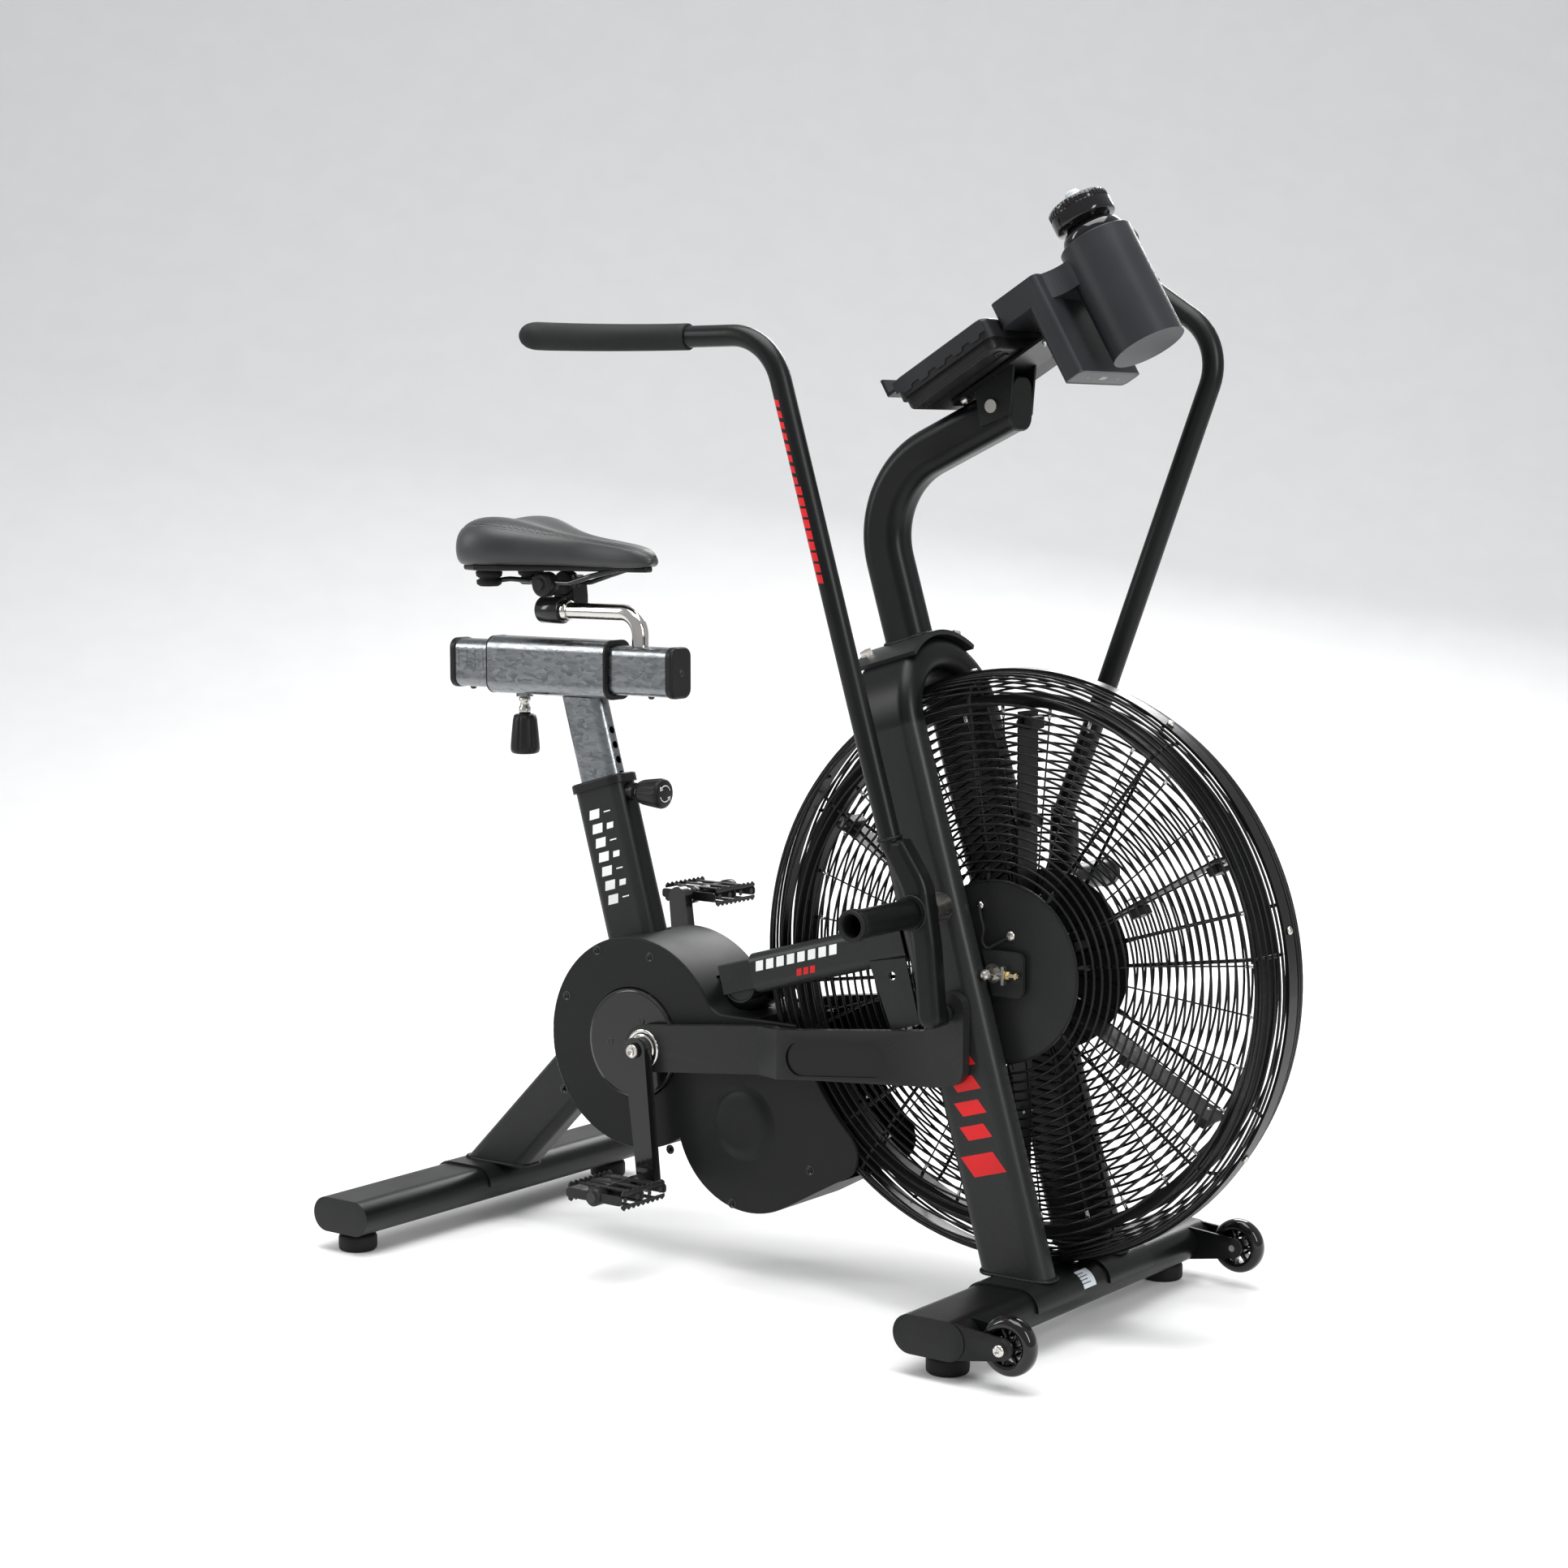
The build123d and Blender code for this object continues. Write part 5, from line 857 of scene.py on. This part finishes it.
# pale blank label on the front floor tube, with four ruled lines
with piece("blank_label", label_paper, "frame", "frame_black") as label:
    rows = [[label.verts.new(on_floor_tube(12 + 62 * i / 6, y, 0.02312)) for y in (-34, 2)] for i in range(7)]
    for a, b in zip(rows, rows[1:]):
        label.faces.new((a[0], a[1], b[1], b[0]))
with piece("label_rules", grey_ink, "frame", "frame_black") as rules:
    for row in range(4):
        low, end = 26 + row * 11, -8 - 3 * (row % 2)
        quad = ((low, -30), (low, end), (low + 3, end), (low + 3, -30))
        rules.faces.new([rules.verts.new(on_floor_tube(a, y, 0.02322)) for a, y in quad])

# ---- fan centre: nuts, tensioners and lead
with (piece("fan_axle_nuts", steel, "frame", "fastener_steel", smooth=False) as nuts,
      piece("tensioner_nuts", brass, "frame", "fastener_steel", smooth=False) as brass_nuts):
    lathe_pair(nuts, 551, 69.2, 428, [(5.5, 0), (11.5, 0), (11.5, 1.6), (5.5, 1.6)], 32)
    lathe_pair(nuts, 551, 80, 428, [(7.8, 0), (7.4, 2), (7, 6), (5.5, 9.5), (3, 11.5), (0, 12)], 32)
    for y_sign in (-1, 1):
        slab(nuts, at(571, y_sign * 74.6, 428), FORWARD * -y_sign, UP, rounded(4, 22, 1, 3), 6.5)
        lathe(nuts, at(560, y_sign * 74.5, 428), FORWARD, [(0, 0), (2.5, 0), (2.5, 30), (0, 30)], 16)
        for dx, r, length in ((573.5, 5, 4.5), (585, 4.2, 2.8)):
            washer = [(2.6, 0), (r, 0), (r, length), (2.6, length)]
            lathe(brass_nuts, at(dx, y_sign * 74.5, 428), FORWARD, washer, 6)

LEAD_ROUTE = [at(527, -63.5, 505), at(534, -70, 492), at(540, -73, 480), at(536, -72, 466), at(541, -69, 455),
              at(552, -66, 462), at(566, -63, 470), at(574, -61.5, 474)]
with piece("speed_sensor_lead", rubber, "frame", "rubber") as lead:
    sweep_tube(lead, arc_points(LEAD_ROUTE, 0.012, 6), 0.0019, 8)
with piece("lead_plugs", steel, "frame", "fastener_steel") as plugs:
    lathe(plugs, at(570, -59.8, 473), -LEFT, [(0, 0), (6, 0), (6, 3), (4.2, 4.5), (0, 4.5)], 24)
    lathe(plugs, at(528, -60, 506), -LEFT, [(0, 0), (4.5, 0), (4.5, 4), (0, 4)], 20)
with piece("disc_rims", powder, "frame", "bracket_black") as rims:
    for y_sign in (-1, 1):
        torus(rims, at(551, y_sign * 59.1, 428), 0.1085, 0.0011, 120, 8)

# ---- crank, link and pedals
for hand, y_sign in SIDES:
    pin = at(-y_sign * 34, 0, 280)
    with piece(f"{hand}_link_bearing", chrome, f"{hand}_link", "chrome") as bearing:
        lathe(bearing, pin + LEFT * y_sign * 0.088, LEFT * y_sign,
              [(15.1, 0), (25.5, 0), (25.5, 0.8), (24, 1.6), (20.5, 1.8), (20, 0.8), (18, 0.8), (17.5, 1.8),
               (15.1, 1.8)], 56)
    with piece(f"{hand}_crank_bolt", steel, "crank", "fastener_steel") as bolt:
        lathe(bolt, pin + LEFT * y_sign * 0.110, LEFT * y_sign,
              [(8.8, -4), (8.8, 1.2), (7.8, 2.2), (5.2, 2.2), (4.6, 0.6), (0, 0.6)], 32)
with piece("crank_disc_trim", enamel, "crank", "crank_black") as trim:
    for y_sign in (-1, 1):
        face = at(0, y_sign * 68.0, 280)
        lathe(trim, face, LEFT * y_sign, [(66.5, -0.5), (70, -0.5), (70, 0.7), (66.5, 0.7)], 80)
        for k in range(3):
            lathe(trim, face + spoke(62 + 120 * k) * 0.036, LEFT * y_sign,
                  [(4.8, -0.2), (4.8, 1.2), (3.4, 1.8), (2.2, 0.4), (0, 0.4)], 20)

PEDAL_INNER, PEDAL_OUTER, TEETH = 117.5, 210.5, 9
for hand, y_sign, dx, z in (("right", -1, 52, 113), ("left", 1, -52, 447)):
    with piece(f"{hand}_pedal_cage", nylon, f"{hand}_pedal", "pedal_black", smooth=False, soften=(0.0006, 1),
               replaces=f"{hand}_pedal") as cage:
        for level in (-1, 1):
            outline = []
            for n in range(TEETH * 2 + 1):
                y = PEDAL_INNER + 4 + (PEDAL_OUTER - PEDAL_INNER - 8) * n / (TEETH * 2)
                outline.append((y * y_sign, level * (13.2 if n % 2 else 9.6)))
            outline += [((PEDAL_OUTER - 4) * y_sign, level * 6), ((PEDAL_INNER + 4) * y_sign, level * 6)]
            for end in (-1, 1):
                slab(cage, at(dx + end * 43 - 1.1, 0, z), LEFT, UP, outline, 2.4)
            for y in (22, 46, 70):
                place = at(dx, y_sign * (PEDAL_INNER + y), z + level * 7.5)
                slab(cage, place, FORWARD, LEFT, rounded(84, 9, 2, 3), level * 2.2)
        for y in (PEDAL_INNER + 1.5, (PEDAL_INNER + PEDAL_OUTER) / 2, PEDAL_OUTER - 4):
            slab(cage, at(dx, y_sign * y, z), FORWARD, UP, rounded(90, 12, 4, 4), 3)
        for y in (12, 34, 58, 82):
            lathe(cage, at(dx + 43, y_sign * (PEDAL_INNER + y), z), FORWARD, [(4, 0), (4, 0.8), (0, 0.8)], 14)
    with piece(f"{hand}_pedal_cage_barrel", nylon, f"{hand}_pedal", "pedal_black") as barrel:
        lathe(barrel, at(dx, y_sign * 116.2, z), LEFT * y_sign,
              [(7.1, 0), (11.8, 0), (11.8, 14), (10, 16), (10, 78), (11.8, 80), (11.8, 94.5), (9.5, 97.2),
               (0, 97.4)], 40)

# belt cover: screws in small wells, and the round swelling over the intermediate shaft
COVER_SCREWS = ((-112, 330), (-60, 395), (28, 395), (-118, 205), (60, 148), (160, 92), (282, 152))
with (piece("cover_screws", enamel, "frame", "cover_black") as wells,
      piece("cover_domes", cover_grain, "frame", "cover_black") as domes):
    for dx, z in COVER_SCREWS:
        lathe_pair(wells, dx, 65.02, z,
                   [(6.2, -0.4), (6.2, 0.6), (4.8, 0.7), (4.4, 0.1), (2, 0.1), (2, -0.4)], 24)
    lathe_pair(domes, 178, 64.9, 198,
               [(49, 0), (45.5, 1.2), (41.5, 3.8), (37.2, 7.1), (30, 7.8), (20, 8.2), (10, 8.4), (0, 8.4)],
               72, False)

# ---- foot pegs, feet and wheels
for (hand, place), (_, y_sign) in zip(ARMS, SIDES):
    with piece(f"{hand}_peg_sleeve", rubber, f"{hand}_arm", "rubber") as lip:
        lathe(lip, place(at(498, -285, 506)), LEFT * y_sign,
              [(13.9, -20), (13.9, 0.6), (15.2, 1.4), (17.6, 1.4), (18.4, 0.4), (18.4, -10), (17.1, -12)],
              56, False)

with piece("moulded_feet", rubber, "frame", "rubber", replaces="rubber_feet") as feet:
    for dx, y in ((607, 247), (607, -247), (-312, 256), (-312, -256)):
        lathe(feet, at(dx, y, 0), UP,
              [(0, 0), (22.5, 0), (24.7, 2.2), (25.2, 6), (25.2, 16.5), (24.3, 19.5), (21.5, 21.8), (10, 22.2),
               (10, 26.2), (0, 26.2)], 56)

HALF_TYRE = [(21.5, 10), (24.5, 11.2), (27.5, 11.2), (31.5, 9), (33.6, 4.8)]
for hand, y_sign in SIDES:
    centre = at(703, y_sign * 268, 52)
    with piece(f"{hand}_skate_wheel", gloss_black, f"{hand}_wheel", "wheel_gloss",
               replaces=f"{hand}_wheel") as wheel:
        tyre = [(r, -h) for r, h in HALF_TYRE] + [(34, 0)] + HALF_TYRE[::-1]
        lathe(wheel, centre, LEFT, tyre + tyre[:1], 72, False)
        lathe(wheel, centre, LEFT,
              [(4.1, -12), (10, -12), (10.8, -10.8), (10.8, 10.8), (10, 12), (4.1, 12)], 40, False)
        for k in range(7):
            out, turn = spoke(360 * k / 7), spoke(360 * k / 7 + 90)
            slab(wheel, centre + out * 0.0160 - turn * 0.0013, out, LEFT, rounded(13.5, 17, 1.5, 2), 2.6)
    with piece(f"{hand}_wheel_bolt_head", chrome, "frame", "fastener_steel") as head:
        lathe(head, centre + LEFT * y_sign * 0.0232, LEFT * y_sign,
              [(7.2, -1), (7.2, 1.8), (5.5, 3.8), (2.6, 4.4), (2.6, 2), (0, 2)], 28)

# ---- console
S_DIR, OUT, RIGHT = spoke(30.5), spoke(120.5), -LEFT
LOW_EDGE = at(417.6, 0, 1118.9)


def on_console(side_mm, s, t):
    """Point on the console: millimetres to the right, up its face, and behind the face."""
    return LOW_EDGE + (RIGHT * side_mm + S_DIR * s - OUT * t) / 1000


def console_piece(name, material, slot_name="console_plastic", soften=()):
    return piece(name, material, "frame", slot_name, smooth=False, soften=soften)


with console_piece("console_side_trim", satin_plastic, soften=(0.0005,)) as trim:
    outline = [(3, -2.5), (3, -17), (8, -17)]
    for n in range(5):
        tooth = ((0, -17), (3, -21.5), (14, -21.5), (17, -17))
        outline += [(10 + n * 27 + step, depth) for step, depth in tooth]
    outline += [(144, -17), (144, -2.5)]
    for hand in (-1, 1):
        slab(trim, on_console(hand * 95.0, 0, 0), S_DIR, OUT, outline, 1.4 * hand)
with console_piece("display_window", screen_film) as window:
    slab(window, on_console(0, 92, 1.9), RIGHT, S_DIR, rounded(118, 70, 4, 5), 1.2)
with console_piece("display_panel", screen_grey) as panel:
    slab(panel, on_console(0, 94, 0.65), RIGHT, S_DIR, rounded(100, 50, 2, 4), 0.12)
BARS = {"a": (0, 5, 5, 1), "b": (3, 2.6, 1, 4.2), "c": (3, -2.6, 1, 4.2), "d": (0, -5, 5, 1),
        "e": (-3, -2.6, 1, 4.2), "f": (-3, 2.6, 1, 4.2), "g": (0, 0, 5, 1)}
DIGITS = {"0": "abcdef", "1": "bc", "2": "abged"}
with console_piece("display_digits", dark_plastic) as digits:
    for line, text in enumerate(("0010", "2000")):
        for column, char in enumerate(text):
            for bar in DIGITS[char]:
                x, y, width, height = BARS[bar]
                place = on_console(-40 + column * 26 + x, 104 - 22 * line + y, 0.50)
                slab(digits, place, RIGHT, S_DIR, rounded(width, height, 0.3, 1), 0.08)
with console_piece("console_back_ribs", dark_plastic) as back:
    for side_mm in (-1, 1):
        for s in (18, 130):
            lathe(back, on_console(side_mm * 70, s, 40.2), -OUT,
                  [(6.5, -0.5), (6.5, 1.2), (4.5, 1.3), (4.2, 0.2), (0, 0.2)], 24)
        slab(back, on_console(side_mm * 52, 74, 40.0), RIGHT, S_DIR, rounded(12, 118, 3, 4), -2.2)
with piece("bracket_bolts", steel, "frame", "fastener_steel") as bolts:
    for side_mm, s in ((-22, 40), (22, 40), (-22, 170), (22, 170)):
        lathe(bolts, on_console(side_mm, s, 46.0), -OUT,
              [(5.5, 0), (5.5, 1), (4.8, 1.1), (4.8, 3.6), (2.8, 4.2), (2.8, 2), (0, 2)], 24)

# ---- bottle holder and bottle
with console_piece("holder_neck", satin_plastic, "holder_plastic") as neck:
    for hand in (-1, 1):
        loops = []
        for t in (i / 8 for i in range(9)):
            flare = 37 + 19 * (1 - t) ** 2.2
            corners = ((flare, -14), (flare, 18), (30, 18), (30, -14))
            loops.append([neck.verts.new(on_console(hand * a, 214 + t * 30, depth)) for a, depth in corners])
        skin(neck, loops)
LEG_MID, LEG_WIDE, LEG_END = 203, 27.4, 115
with console_piece("holder_floor", satin_plastic, "holder_plastic", (0.0006,)) as plates:
    for depth in (1.9, LEG_END):
        slab(plates, on_console(0, LEG_MID, depth), RIGHT, S_DIR, rounded(135, LEG_WIDE, 6), 1.8)
# gloss black plates on the holder's closed underside: painted shade standing in for its slot openings
with console_piece("holder_slot_shade", gloss_black, "holder_plastic") as slot_shades:
    for side_mm, size in ((0, (15, 6.5, 3, 4)), (-34, (5, 1.6, 0.7, 2)), (34, (5, 1.6, 0.7, 2))):
        slab(slot_shades, on_console(side_mm, LEG_MID, LEG_END + 0.1), RIGHT, S_DIR, rounded(*size), 0.3)
with piece("cup_lip", satin_plastic, "frame", "holder_plastic") as lip:
    torus(lip, on_console(0, 272, -25), 0.0425, 0.0016, 96, 8, axis=OUT)

BOTTLE = on_console(0, 272, 0)
with piece("bottle_shell", gloss_black, "bottle", "bottle_black", replaces="bottle") as shell:
    lathe(shell, BOTTLE, OUT,
          [(0, -112), (30, -112), (35, -109), (36.5, -104), (36.5, -60), (36.5, 2), (36.2, 8), (33, 14),
           (31.6, 17), (31.6, 19), (33.5, 22), (36.3, 26), (36.4, 34), (34.2, 39), (29.5, 43.5), (25.5, 46),
           (25, 49.6)], 96, False)
with piece("bottle_lid_turned", gloss_black, "bottle", "bottle_black", replaces="bottle_lid") as lid:
    lathe(lid, BOTTLE, OUT, [(25.2, 49.2), (34.5, 49.6), (36.4, 51), (36.9, 54), (36.9, 66)], 96, False)
    lathe(lid, BOTTLE, OUT,
          [(36.9, 66), (36.2, 66.8), (34.6, 67.2), (35.3, 68.4), (35.6, 74), (34.2, 76.6), (30.5, 78),
           (22, 78), (20, 77), (13, 76.8), (11.5, 79), (9.4, 79.4), (6.2, 79.4), (6.2, 64)], 96, False)
    u = OUT.orthogonal().normalized()
    for low, high in zip(circle(BOTTLE, u, OUT.cross(u), 0.0355), circle(BOTTLE, u, OUT.cross(u), 0.0356)):
        sweep_tube(lid, [low + OUT * 0.0682, high + OUT * 0.0755], 0.0009, 5)
with piece("bottle_valve_soft", clear, "bottle_valve", "valve_clear", replaces="bottle_valve") as valve:
    lathe(valve, BOTTLE, OUT,
          [(0, 64), (6.05, 64), (6.05, 81), (9.2, 81.5), (10.2, 82.6), (10.2, 84.2), (8.8, 85.4), (8.4, 88),
           (8.8, 90.4), (7.8, 91.8), (3.2, 92), (2.4, 91), (0, 91)], 48, False)
